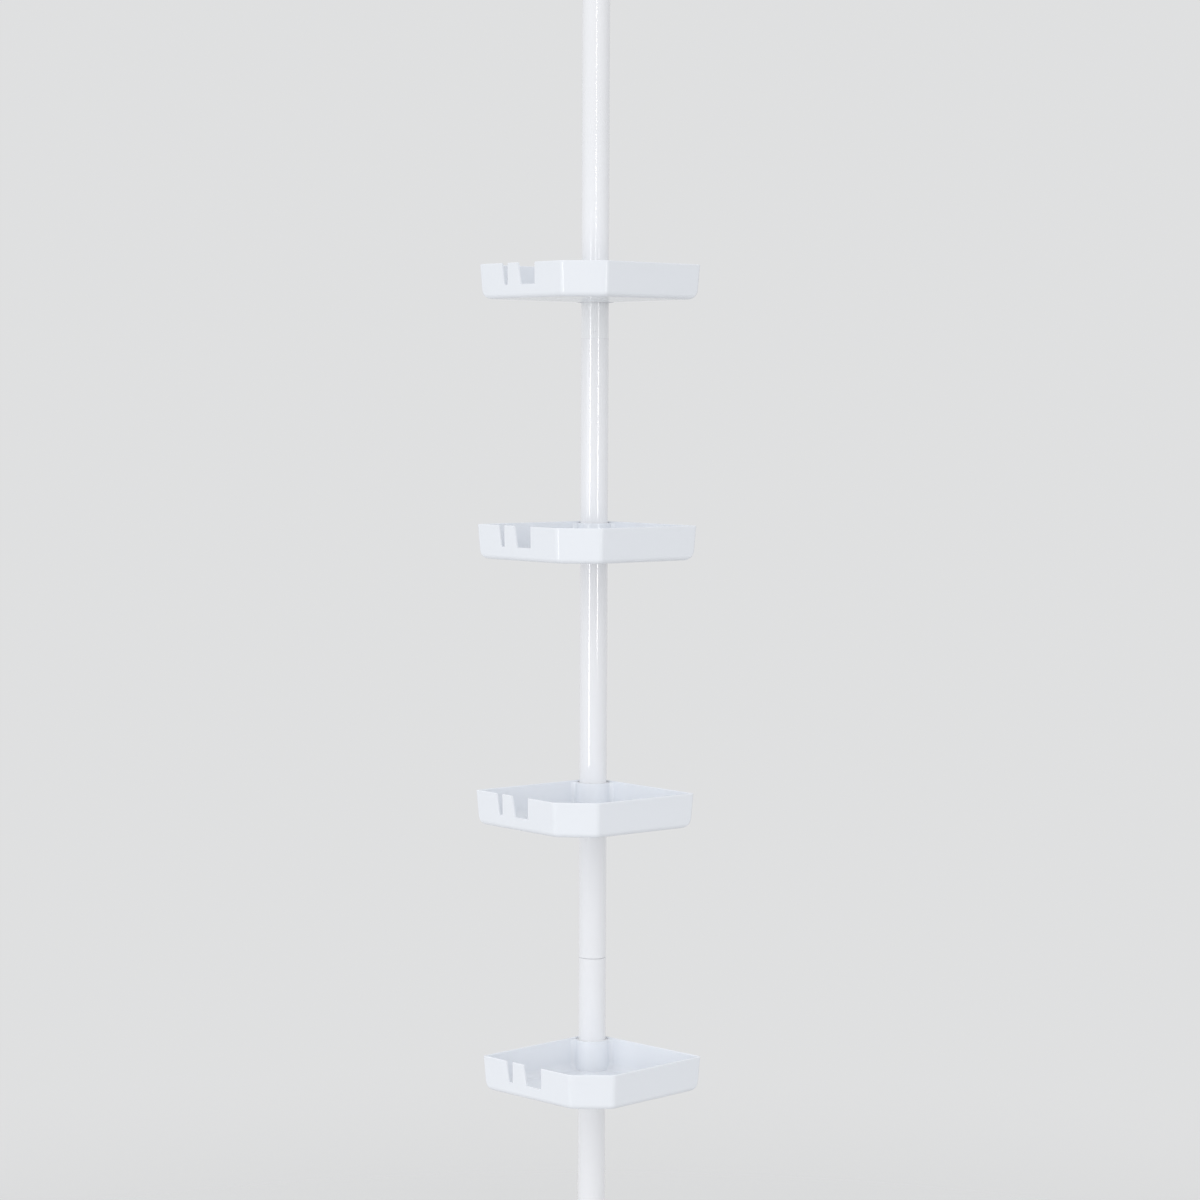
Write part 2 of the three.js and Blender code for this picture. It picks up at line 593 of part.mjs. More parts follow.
function trayCavity() {
  const rearFillet = TRAY_REAR_FILLET - TRAY_WALL;
  const frontFillet = TRAY_FRONT_FILLET - TRAY_WALL;
  const levels = FILLET_LEVEL_SHARES.map((share) => share * rearFillet).map((rise) => {
    const z = TRAY_FLOOR + rise;
    const wall = TRAY_WALL + DRAFT_SHARE * (TRAY_HEIGHT - z);
    const frontInset = wall + filletInset(frontFillet, rise);
    const rearInset = wall + filletInset(rearFillet, rise);
    return { z, outline: trayOutline(frontInset, rearInset, TRAY_WALL) };
  });
  const inset = TRAY_WALL - DRAFT_SHARE * OVERRUN;
  levels.push({ z: TRAY_HEIGHT + OVERRUN, outline: trayOutline(inset, inset, TRAY_WALL) });
  return loft(levels);
}

// The fillet between the hub and a rear wall, as a block with a scooped side: the first one lies
// along the rear wall that faces -Y, and its mirror image along the other
function hubFillet(mirrored) {
  const levels = [TRAY_FLOOR / 2, hubTop].map((z) => {
    const hub = hubBottomRadius + ((hubTopRadius - hubBottomRadius) * z) / hubTop;
    const wall = rearOffset - TRAY_WALL - DRAFT_SHARE * (TRAY_HEIGHT - z);
    const round = Math.min(HUB_WALL_FILLET, wall);
    // the rounding's centre lies this far along the wall and off the pole's axis
    const off = wall - round;
    const along = Math.sqrt((hub + round) ** 2 - off ** 2);
    const last = Math.PI - Math.atan2(off, along);
    const outline = Array.from({ length: FILLET_STEPS + 1 }, (_, i) => {
      const angle = 1.5 * Math.PI + ((last - 1.5 * Math.PI) * i) / FILLET_STEPS;
      return [along + round * Math.cos(angle), round * Math.sin(angle) - off];
    });
    const [x, y] = outline.at(-1);
    const within = x - HUB_TOP_WALL / 2;
    outline.push([within, y], [within, -wall - TRAY_WALL / 2], [along, -wall - TRAY_WALL / 2]);
    return { z, outline: mirrored ? outline.map((point) => point.toReversed()).reverse() : outline };
  });
  return loft(levels);
}

// A slot cutter: its sides are carried on past the rim at the same slant
function slotCutter(start, topWidth, bottomWidth) {
  const from = start - rearOffset;
  const bottomZ = TRAY_HEIGHT - SLOT_DEPTH;
  const slant = (topWidth - bottomWidth) / SLOT_DEPTH;
  const leftShare = 0.75; // of the slant that the left side takes
  const rise = SLOT_DEPTH + OVERRUN;
  const bottomLeft = from + slant * leftShare * SLOT_DEPTH;
  const bottomRight = bottomLeft + bottomWidth;
  const shape = new THREE.Shape([
    new THREE.Vector2(bottomLeft, bottomZ),
    new THREE.Vector2(bottomRight, bottomZ),
    new THREE.Vector2(bottomRight + slant * (1 - leftShare) * rise, bottomZ + rise),
    new THREE.Vector2(bottomLeft - slant * leftShare * rise, bottomZ + rise),
  ]);
  const depth = TRAY_FRONT_CORNER + OVERRUN;
  const cutter = new THREE.ExtrudeGeometry(shape, { depth, bevelEnabled: false });
  // shape's x runs along the wall, its y goes up, and the extrusion goes through the wall
  const axes = new THREE.Matrix4().makeBasis(
    new THREE.Vector3(0, 1, 0), new THREE.Vector3(0, 0, 1), new THREE.Vector3(1, 0, 0),
  );
  return cutter.applyMatrix4(axes).translate(reach - TRAY_FRONT_CORNER, 0, 0);
}

// A cutter for each drain hole: the rows lie square to the tray's front-to-back line
function drainCutters() {
  const depth = TRAY_FLOOR + 2 * OVERRUN;
  return DRAIN_ROWS.flatMap((holes, row) => Array.from({ length: holes }, (_, hole) => {
    const side = (hole - (holes - 1) / 2) * DRAIN_PITCH;
    return new THREE.CylinderGeometry(DRAIN_RADIUS, DRAIN_RADIUS, depth, DRAIN_SIDES)
      .rotateX(Math.PI / 2)
      .translate(DRAIN_REAR_ROW + row * DRAIN_PITCH, side, TRAY_FLOOR / 2)
      .rotateZ(Math.PI / 4);
  }));
}

// The tray on the pole's axis with its underside at zero, turned so that the cut faces -Y
function tray() {
  const hub = turned([
    [0, 0], [hubBottomRadius - HUB_EDGE, 0], [hubBottomRadius, HUB_EDGE],
    [hubTopRadius, hubTop - HUB_EDGE], [hubTopRadius - HUB_EDGE, hubTop], [0, hubTop],
  ], HUB_SIDES);
  // above the hub the rear walls end in line with its bore
  const headroom = cone(boreTopRadius, boreTopRadius, hubTop, TRAY_HEIGHT + OVERRUN, HUB_SIDES);
  const boreFlare = (boreBottomRadius - boreTopRadius) * (OVERRUN / hubTop);
  const bore = cone(
    boreBottomRadius + boreFlare, boreTopRadius - boreFlare, -OVERRUN, hubTop + OVERRUN, HUB_SIDES,
  );
  let body = solid(trayOuter()).subtract(solid(trayCavity()))
    .add(solid(hub))
    .add(solid(hubFillet(false)))
    .add(solid(hubFillet(true)))
    .subtract(solid(headroom))
    .subtract(solid(bore))
    .subtract(solid(slotCutter(SMALL_SLOT_START, SMALL_SLOT_TOP_WIDTH, SMALL_SLOT_BOTTOM_WIDTH)))
    .subtract(solid(slotCutter(LARGE_SLOT_START, LARGE_SLOT_TOP_WIDTH, LARGE_SLOT_BOTTOM_WIDTH)));
  drainCutters().forEach((cutter) => {
    body = body.subtract(solid(cutter));
  });
  return geometryOf(body).rotateZ(-Math.PI * 3 / 4);
}

// One half of the split clip: a tapered ring cut down its middle
function clipHalf(side) {
  const taper = (boreBottomRadius - boreTopRadius) / hubTop;
  const top = hubTop - CLIP_TOP_DROP;
  const radiusAt = (z) => boreBottomRadius - taper * z - SEAT_GAP;
  const whole = solid(turned([
    [clipBore, CLIP_FOOT], [radiusAt(CLIP_FOOT) - CLIP_LEAD, CLIP_FOOT],
    [radiusAt(CLIP_FOOT + CLIP_LEAD), CLIP_FOOT + CLIP_LEAD], [radiusAt(top), top], [clipBore, top],
  ]));
  const width = hubBottomRadius;
  const half = block(
    width, 2 * width, top - CLIP_FOOT + 2 * OVERRUN,
    side * (width + CLIP_SPLIT) / 2, 0, (CLIP_FOOT + top) / 2,
  );
  return geometryOf(whole.intersect(solid(half)));
}

// Assembly
add('foot_pad', 'rubber', pad());
add('foot_cup', 'fitting', cup(TUBE_RADIUS, CUP_HEIGHT, CUP_FLOOR, CUP_LAND));
add('lower_tube', 'paint', lowerTube());
add('middle_tube', 'paint', middleTube());
add('joint_coupler', 'fitting', jointCoupler());
add('upper_tube', 'paint', upperTube());
add('lock_collet', 'fitting', lockCollet());
add('lock_nut', 'fitting', lockNut());
add('extension_tube', 'paint', extensionTube());
add('tube_glide', 'fitting', tubeGlide());
add('spring_seat', 'fitting', springSeat());
add('tension_spring', 'steel', tensionSpring());
add('plunger', 'zincSteel', plunger());
add('top_bush', 'fitting', topBush());

const ceilingEnd = new THREE.Group();
ceilingEnd.position.z = unitHeight;
ceilingEnd.rotation.x = Math.PI;
add('top_pad', 'rubber', pad(), ceilingEnd);
add('top_cup', 'fitting', cup(stemRadius, TOP_CUP_HEIGHT, TOP_CUP_FLOOR, TOP_CUP_LAND), ceilingEnd);
unit.add(ceilingEnd);

SHELVES.forEach(({ rimZ, turnDegrees }, i) => {
  const shelf = new THREE.Group();
  shelf.position.z = rimZ - TRAY_HEIGHT;
  shelf.rotation.z = THREE.MathUtils.degToRad(turnDegrees);
  add(`tray_${i + 1}`, 'tray', tray(), shelf);
  add(`clip_${i + 1}_left`, 'fitting', clipHalf(-1), shelf);
  add(`clip_${i + 1}_right`, 'fitting', clipHalf(1), shelf);
  unit.add(shelf);
});

export default unit;
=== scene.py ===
"""Looks of a tension pole shelf unit: gloss white painted tube, four moulded corner trays, and
the foot, twist lock and sprung ceiling end. Metres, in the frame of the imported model."""
import math

import bmesh
import bpy
from mathutils import Matrix, Vector


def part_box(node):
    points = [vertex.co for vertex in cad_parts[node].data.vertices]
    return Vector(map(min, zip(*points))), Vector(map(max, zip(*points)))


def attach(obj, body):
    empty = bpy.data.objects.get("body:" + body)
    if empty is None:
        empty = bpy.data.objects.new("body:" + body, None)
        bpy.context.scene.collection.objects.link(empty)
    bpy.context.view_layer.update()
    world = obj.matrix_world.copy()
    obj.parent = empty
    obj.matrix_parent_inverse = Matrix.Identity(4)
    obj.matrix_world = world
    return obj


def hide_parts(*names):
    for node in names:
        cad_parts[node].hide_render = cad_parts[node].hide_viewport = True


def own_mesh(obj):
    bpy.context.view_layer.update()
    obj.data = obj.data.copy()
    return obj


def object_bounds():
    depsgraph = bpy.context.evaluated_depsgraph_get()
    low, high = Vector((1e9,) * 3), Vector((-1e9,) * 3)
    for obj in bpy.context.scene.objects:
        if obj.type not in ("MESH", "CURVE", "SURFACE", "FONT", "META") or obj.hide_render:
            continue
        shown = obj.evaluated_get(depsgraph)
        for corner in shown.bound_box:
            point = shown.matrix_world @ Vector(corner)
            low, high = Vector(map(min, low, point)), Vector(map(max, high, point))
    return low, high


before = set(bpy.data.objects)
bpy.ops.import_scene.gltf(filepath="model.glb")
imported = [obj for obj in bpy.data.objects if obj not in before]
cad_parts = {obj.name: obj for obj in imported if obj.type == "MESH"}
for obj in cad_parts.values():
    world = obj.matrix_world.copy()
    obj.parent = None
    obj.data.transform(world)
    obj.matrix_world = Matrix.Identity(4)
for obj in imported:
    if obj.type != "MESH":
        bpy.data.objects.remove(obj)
cad_box = [list(corner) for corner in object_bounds()]

MM = 0.001

# Tube and clearances
TUBE_RADIUS = 12.7 * MM
TUBE_WALL = 0.8 * MM
SEAT_GAP = 0.3 * MM
SLIDE_GAP = 0.25 * MM
EXTENSION_RADIUS = 11.1 * MM
STEM_RADIUS = 6 * MM
TUBE_BORE = TUBE_RADIUS - TUBE_WALL
SPIGOT_RADIUS = TUBE_BORE - SEAT_GAP
EXTENSION_BORE = EXTENSION_RADIUS - TUBE_WALL
PLUG_RADIUS = EXTENSION_BORE - SEAT_GAP
LEAD_IN = 1.2 * MM  # taper at the end of a piece that goes into a tube
TUBE_EDGE = 0.08 * MM
MOULDED_EDGE = 0.2 * MM
TUBE_SIDES = 128

# Tray, drawn along its two rear walls with the pole's axis at zero
TRAY_SIDE = 140 * MM
TRAY_CUT = 28 * MM
TRAY_HEIGHT = 31 * MM
TRAY_WALL = 2 * MM
TRAY_FLOOR = 2.2 * MM
TRAY_DRAFT = 0.06
REAR_OFFSET = 13 * MM
FRONT_FILLET = 4 * MM
REAR_FILLET = 9 * MM
FRONT_CORNER = 7 * MM
SIDE_CORNER = 3 * MM
REAR_CORNER = 11 * MM
CORNER_STEPS = 8
RIM_ROUND = 0.85 * MM
TRAY_EDGE = 0.3 * MM
HUB_TOP = TRAY_HEIGHT - 1.4 * MM
HUB_TOP_RADIUS = 15.8 * MM
HUB_BOTTOM_RADIUS = 17.4 * MM
BORE_TOP_RADIUS = 14.3 * MM
BORE_BOTTOM_RADIUS = 15.4 * MM
REACH = TRAY_SIDE - REAR_OFFSET
CUT_REACH = (2 * REACH - TRAY_CUT) / math.sqrt(2)

# Slots in the left front wall: start from the left corner, width at the rim, width at the foot
SLOT_DEPTH = 19 * MM
SLOTS = ((31.5 * MM, 8 * MM, 4.6 * MM), (53.5 * MM, 22.5 * MM, 19 * MM))
SLOT_LEFT_SHARE = 0.75
SLOT_FOOT_ROUND = 0.5 * MM
DRAIN_RADIUS = 2.5 * MM
DRAIN_PITCH = 26 * MM
DRAIN_REAR_ROW = 52 * MM
DRAIN_ROWS = (3, 4, 3)
OVERRUN = 2 * MM  # how far a cutter reaches past what it cuts

SHELVES = ((1, 0.5), (2, -0.8), (3, -1.5), (4, 3.9))  # tray number, its turn in degrees
SHELF_TURN_BACK = math.radians(-135)  # from the drawing's axes to the cut corner facing -Y
CLIP_FOOT = 1 * MM  # from the tray's underside up to its clips

# Collet of the twist lock, and the nut's chamber round it
COLLET_BORE = EXTENSION_RADIUS + SLIDE_GAP
COLLET_WALL = 2 * MM
COLLET_STEP = 3 * MM
COLLET_FINGER_FOOT = 2.9 * MM
COLLET_FINGER_TOP = 1.9 * MM

# Rubber pads and the cups that stand on them
PAD_RADIUS = 25 * MM
PAD_THICKNESS = 6 * MM
BOSS_RADIUS = 7 * MM
BOSS_HEIGHT = 5 * MM
CUP_RADIUS = 23 * MM


# Modelling helpers

def nothing_selected():
    if bpy.context.object and bpy.context.object.mode != "OBJECT":
        bpy.ops.object.mode_set(mode="OBJECT")
    bpy.ops.object.select_all(action="DESELECT")


def only(piece):
    nothing_selected()
    piece.select_set(True)
    bpy.context.view_layer.objects.active = piece


def name_active(name):
    piece = bpy.context.object
    piece.name = name
    piece.data.name = name
    return piece


def select_faces(piece, chosen):
    """Leaves the piece in edit mode with the chosen faces selected."""
    only(piece)
    bpy.ops.object.mode_set(mode="EDIT")
    bpy.ops.mesh.select_mode(type="FACE")
    bpy.ops.mesh.select_all(action="DESELECT")
    bpy.ops.object.mode_set(mode="OBJECT")
    for polygon in piece.data.polygons:
        polygon.select = chosen(polygon)
    bpy.ops.object.mode_set(mode="EDIT")


def select_edges(piece, chosen):
    """Leaves the piece in edit mode with edges selected, chosen by the places of their ends."""
    only(piece)
    bpy.ops.object.mode_set(mode="EDIT")
    bpy.ops.mesh.select_mode(type="EDGE")
    bpy.ops.mesh.select_all(action="DESELECT")
    bpy.ops.object.mode_set(mode="OBJECT")
    for edge in piece.data.edges:
        edge.select = chosen(*(piece.data.vertices[i].co for i in edge.vertices))
    bpy.ops.object.mode_set(mode="EDIT")


def place_in_mesh(piece):
    only(piece)
    bpy.ops.object.transform_apply(location=True, rotation=True, scale=True)


def apply_all(piece):
    only(piece)
    for modifier in list(piece.modifiers):
        bpy.ops.object.modifier_apply(modifier=modifier.name)


def smooth(piece, degrees=32):
    """Smooth shading that keeps long and flat faces true beside small rounded edges."""
    only(piece)
    bpy.ops.object.shade_smooth_by_angle(angle=math.radians(degrees))
    weighted = piece.modifiers.new("flat faces first", "WEIGHTED_NORMAL")
    weighted.keep_sharp = True
    apply_all(piece)


def soften_edges(piece, width, degrees=35, segments=3, clamped=True):
    """Rounds the piece's sharp edges."""
    bevel = piece.modifiers.new("soft edges", "BEVEL")
    bevel.width = width
    bevel.segments = segments
    bevel.limit_method = "ANGLE"
    bevel.angle_limit = math.radians(degrees)
    bevel.use_clamp_overlap = clamped
    apply_all(piece)


def soften_sharp(piece, width, chosen, degrees=50):
    """Rounds the sharp edges whose middle lies in the chosen place."""
    select_edges(piece, lambda a, b: False)
    bpy.ops.mesh.edges_select_sharp(sharpness=math.radians(degrees))
    bpy.ops.object.mode_set(mode="OBJECT")
    sharp = [(edge.index, [piece.data.vertices[i].co for i in edge.vertices])
             for edge in piece.data.edges if edge.select]
    wanted = [index for index, (a, b) in sharp if chosen((a + b) / 2)]
    select_edges(piece, lambda a, b: False)
    bpy.ops.object.mode_set(mode="OBJECT")
    for index in wanted:
        piece.data.edges[index].select = True
    bpy.ops.object.mode_set(mode="EDIT")
    bpy.ops.mesh.bevel(offset=width, segments=2, affect="EDGES")
    bpy.ops.object.mode_set(mode="OBJECT")


def tidy_cuts(piece, shortest=0.05 * MM):
    """Takes out the slivers that cuts leave, which would hold back the rounding of edges."""
    only(piece)
    bpy.ops.object.mode_set(mode="EDIT")
    bpy.ops.mesh.select_mode(type="VERT")
    bpy.ops.mesh.select_all(action="SELECT")
    bpy.ops.mesh.remove_doubles(threshold=shortest)
    bpy.ops.mesh.dissolve_limited(angle_limit=math.radians(0.5))
    bpy.ops.object.mode_set(mode="OBJECT")


def cut_with(piece, cutter, operation="DIFFERENCE"):
    """Joins or cuts with another solid, which is used up."""
    boolean = piece.modifiers.new("cut", "BOOLEAN")
    boolean.object = cutter
    boolean.operation = operation
    boolean.solver = "EXACT"
    apply_all(piece)
    bpy.data.objects.remove(cutter)


def turned(name, rings, sides=TUBE_SIDES, soft=0.3 * MM, solid=False):
    """A round piece on the pole's axis: a circle drawn out through each (radius, height) in turn,
    outside going up and inside coming down. The last circle is joined to the first, or both ends
    are filled."""
    nothing_selected()
    radius, height = rings[0]
    bpy.ops.mesh.primitive_circle_add(vertices=sides, radius=radius, location=(0, 0, height))
    piece = name_active(name)
    bpy.ops.object.mode_set(mode="EDIT")
    bpy.ops.mesh.select_mode(type="VERT")
    bpy.ops.mesh.select_all(action="SELECT")
    for next_radius, next_height in rings[1:]:
        bpy.ops.mesh.extrude_region_move(
            TRANSFORM_OT_translate={"value": (0, 0, next_height - height)})
        share = next_radius / radius
        bpy.ops.transform.resize(value=(share, share, 1), center_override=(0, 0, next_height))
        radius, height = next_radius, next_height
    bpy.ops.mesh.select_mode(type="EDGE")
    bpy.ops.mesh.select_all(action="DESELECT")
    bpy.ops.mesh.select_non_manifold()
    if solid:
        bpy.ops.mesh.fill_holes(sides=0)
    else:
        bpy.ops.mesh.bridge_edge_loops()
    bpy.ops.mesh.select_mode(type="VERT")
    bpy.ops.mesh.select_all(action="SELECT")
    bpy.ops.mesh.normals_make_consistent(inside=False)
    bpy.ops.object.mode_set(mode="OBJECT")
    place_in_mesh(piece)
    if soft:
        soften_edges(piece, soft)
    smooth(piece)
    return piece


def copied(piece, name):
    """A copy with its own mesh."""
    only(piece)
    bpy.ops.object.duplicate(linked=False)
    return name_active(name)


def finish_piece(piece, material, body, node):
    piece.data.materials.clear()
    piece.data.materials.append(material)
    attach(piece, body)
    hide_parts(node)


# Materials

def socket(group, name, way, kind, value=None):
    made = group.interface.new_socket(name=name, in_out=way, socket_type=kind)
    if value is not None:
        made.default_value = value
    return made


def surface_group():
    """Slow tone changes and a fine skin that every moulded or painted surface shares."""
    group = bpy.data.node_groups.new("surface_skin", "ShaderNodeTree")
    socket(group, "Colour", "INPUT", "NodeSocketColor", (0.8, 0.8, 0.8, 1))
    socket(group, "Shade colour", "INPUT", "NodeSocketColor", (0.7, 0.7, 0.7, 1))
    socket(group, "Tone scale", "INPUT", "NodeSocketFloat", 8)
    socket(group, "Skin scale", "INPUT", "NodeSocketFloat", 700)
    socket(group, "Roughness low", "INPUT", "NodeSocketFloat", 0.2)
    socket(group, "Roughness high", "INPUT", "NodeSocketFloat", 0.3)
    socket(group, "Colour", "OUTPUT", "NodeSocketColor")
    socket(group, "Roughness", "OUTPUT", "NodeSocketFloat")
    socket(group, "Height", "OUTPUT", "NodeSocketFloat")
    nodes, links = group.nodes, group.links
    given = nodes.new("NodeGroupInput")
    result = nodes.new("NodeGroupOutput")
    place = nodes.new("ShaderNodeTexCoord")
    tone = nodes.new("ShaderNodeTexNoise")
    tone.inputs["Detail"].default_value = 4
    skin = nodes.new("ShaderNodeTexNoise")
    skin.inputs["Detail"].default_value = 2
    smear = nodes.new("ShaderNodeTexNoise")
    smear.inputs["Detail"].default_value = 6
    smear.inputs["Distortion"].default_value = 0.6
    mix = nodes.new("ShaderNodeMix")
    mix.data_type = "RGBA"
    gloss = nodes.new("ShaderNodeMapRange")
    gloss.inputs["From Min"].default_value = 0.35
    gloss.inputs["From Max"].default_value = 0.7
    smears_per_tone = 5
    smear_scale = nodes.new("ShaderNodeMath")
    smear_scale.operation = "MULTIPLY"
    smear_scale.inputs[1].default_value = smears_per_tone
    tone_spread = nodes.new("ShaderNodeMapRange")
    tone_spread.inputs["From Min"].default_value = 0.3
    tone_spread.inputs["From Max"].default_value = 0.7
    for texture in (tone, skin, smear):
        links.new(place.outputs["Object"], texture.inputs["Vector"])
    links.new(given.outputs["Tone scale"], tone.inputs["Scale"])
    links.new(given.outputs["Skin scale"], skin.inputs["Scale"])
    links.new(given.outputs["Tone scale"], smear_scale.inputs[0])
    links.new(smear_scale.outputs[0], smear.inputs["Scale"])
    links.new(tone.outputs["Fac"], tone_spread.inputs["Value"])
    links.new(tone_spread.outputs["Result"], mix.inputs["Factor"])
    links.new(given.outputs["Colour"], mix.inputs["A"])
    links.new(given.outputs["Shade colour"], mix.inputs["B"])
    links.new(smear.outputs["Fac"], gloss.inputs["Value"])
    links.new(given.outputs["Roughness low"], gloss.inputs["To Min"])
    links.new(given.outputs["Roughness high"], gloss.inputs["To Max"])
    links.new(mix.outputs["Result"], result.inputs["Colour"])
    links.new(gloss.outputs["Result"], result.inputs["Roughness"])
    links.new(skin.outputs["Fac"], result.inputs["Height"])
    return group


SURFACE = surface_group()


def surface_material(name, colour, shade, rough, tone_scale, skin_scale, skin_height, **shader):
    """A material whose tone, gloss and skin come from the shared group."""
    material = bpy.data.materials.new(name)
    material.use_nodes = True
    nodes, links = material.node_tree.nodes, material.node_tree.links
    principled = nodes["Principled BSDF"]
    for input_name, value in shader.items():
        principled.inputs[input_name.replace("_", " ")].default_value = value
    skin = nodes.new("ShaderNodeGroup")
    skin.node_tree = SURFACE
    skin.inputs["Colour"].default_value = (*colour, 1)
    skin.inputs["Shade colour"].default_value = (*shade, 1)
    skin.inputs["Tone scale"].default_value = tone_scale
    skin.inputs["Skin scale"].default_value = skin_scale
    skin.inputs["Roughness low"].default_value = rough[0]
    skin.inputs["Roughness high"].default_value = rough[1]
    bump = nodes.new("ShaderNodeBump")
    bump.inputs["Strength"].default_value = 1
    bump.inputs["Distance"].default_value = skin_height
    links.new(skin.outputs["Colour"], principled.inputs["Base Color"])
    links.new(skin.outputs["Roughness"], principled.inputs["Roughness"])
    links.new(skin.outputs["Height"], bump.inputs["Height"])
    links.new(bump.outputs["Normal"], principled.inputs["Normal"])
    return material


PAINT = surface_material(
    "gloss_paint", colour=(0.845, 0.85, 0.872), shade=(0.83, 0.835, 0.86), rough=(0.08, 0.11),
    tone_scale=6, skin_scale=900, skin_height=0.0006 * MM, Coat_Weight=0.5, Coat_Roughness=0.04)
TRAY_PLASTIC = surface_material(
    "tray_plastic", colour=(0.805, 0.83, 0.873), shade=(0.797, 0.822, 0.866), rough=(0.14, 0.17),
    tone_scale=10, skin_scale=1200, skin_height=0.003 * MM, Specular_IOR_Level=0.5)
SATIN_PLASTIC = surface_material(
    "satin_plastic", colour=(0.82, 0.83, 0.85), shade=(0.79, 0.80, 0.825), rough=(0.38, 0.52),
    tone_scale=20, skin_scale=1600, skin_height=0.012 * MM)
GLOSS_PLASTIC = surface_material(
    "gloss_plastic", colour=(0.86, 0.868, 0.885), shade=(0.85, 0.858, 0.876), rough=(0.12, 0.16),
    tone_scale=12, skin_scale=1200, skin_height=0.003 * MM)
RUBBER = surface_material(
    "pale_rubber", colour=(0.62, 0.63, 0.64), shade=(0.56, 0.57, 0.58), rough=(0.70, 0.90),
    tone_scale=30, skin_scale=1400, skin_height=0.03 * MM)
SPRING_STEEL = surface_material(
    "spring_steel", colour=(0.50, 0.50, 0.51), shade=(0.42, 0.42, 0.44), rough=(0.22, 0.38),
    tone_scale=60, skin_scale=2200, skin_height=0.006 * MM, Metallic=1.0)
ZINC_STEEL = surface_material(
    "zinc_steel", colour=(0.62, 0.63, 0.65), shade=(0.54, 0.55, 0.58), rough=(0.24, 0.36),
    tone_scale=40, skin_scale=1800, skin_height=0.005 * MM, Metallic=1.0)


# Camera and stage

def photo_camera():
    """The photograph's viewpoint."""
    distance = 2.7546
    side_degrees = 3.818
    turn_degrees = 3.699
    tilt_degrees = -3.761
    roll_degrees = 0.244
    height = 1.1055
    focal_pixels = 2999.7
    frame_pixels = 1200
    sensor = 36.0
    data = bpy.data.cameras.new("camera")
    data.sensor_width = sensor
    data.lens = focal_pixels / frame_pixels * sensor
    data.clip_start, data.clip_end = 0.05, 60
    camera = bpy.data.objects.new("camera", data)
    side = math.radians(side_degrees)
    camera.location = (distance * math.sin(side), -distance * math.cos(side), height)
    camera.rotation_euler = (Matrix.Rotation(math.radians(turn_degrees), 3, "Z")
                             @ Matrix.Rotation(math.radians(90 + tilt_degrees), 3, "X")
                             @ Matrix.Rotation(math.radians(roll_degrees), 3, "Z")).to_euler()
    bpy.context.scene.collection.objects.link(camera)
    bpy.context.scene.camera = camera


def floor():
    """A pale floor that fades into the background away from the object."""
    reach, fade_start, fade_end = 6, 0.4, 2.2
    nothing_selected()
    bpy.ops.mesh.primitive_circle_add(
        vertices=96, radius=reach, fill_type="NGON", location=(0, 0, 0))
    ground = name_active("studio_floor")
    material = bpy.data.materials.new("studio_floor")
    material.use_nodes = True
    nodes, links = material.node_tree.nodes, material.node_tree.links
    principled = nodes["Principled BSDF"]
    principled.inputs["Base Color"].default_value = (0.66, 0.66, 0.66, 1)
    principled.inputs["Roughness"].default_value = 0.9
    principled.inputs["Specular IOR Level"].default_value = 0.1
    clear = nodes.new("ShaderNodeBsdfTransparent")
    mix = nodes.new("ShaderNodeMixShader")
    place = nodes.new("ShaderNodeTexCoord")
    away = nodes.new("ShaderNodeVectorMath")
    away.operation = "LENGTH"
    fade = nodes.new("ShaderNodeMapRange")
    fade.interpolation_type = "SMOOTHSTEP"
    fade.inputs["From Min"].default_value = fade_start
    fade.inputs["From Max"].default_value = fade_end
    links.new(place.outputs["Object"], away.inputs[0])
    links.new(away.outputs["Value"], fade.inputs["Value"])
    links.new(fade.outputs["Result"], mix.inputs["Fac"])
    links.new(principled.outputs["BSDF"], mix.inputs[1])
    links.new(clear.outputs["BSDF"], mix.inputs[2])
    links.new(mix.outputs["Shader"], nodes["Material Output"].inputs["Surface"])
    ground.data.materials.append(material)


def soft_light(name, degrees, height, width, tall, watts, colour=(1.0, 1.0, 1.0)):
    """An upright lamp that faces the pole, turned from the front toward the right."""
    away = 2.6
    data = bpy.data.lights.new(name, "AREA")
    data.shape = "RECTANGLE"
    data.size, data.size_y = width, tall
    data.energy = watts
    data.color = colour
    lamp = bpy.data.objects.new(name, data)
    turn = math.radians(degrees)
    lamp.location = (away * math.sin(turn), -away * math.cos(turn), height)
    lamp.rotation_euler = (math.pi / 2, 0, turn)
    bpy.context.scene.collection.objects.link(lamp)


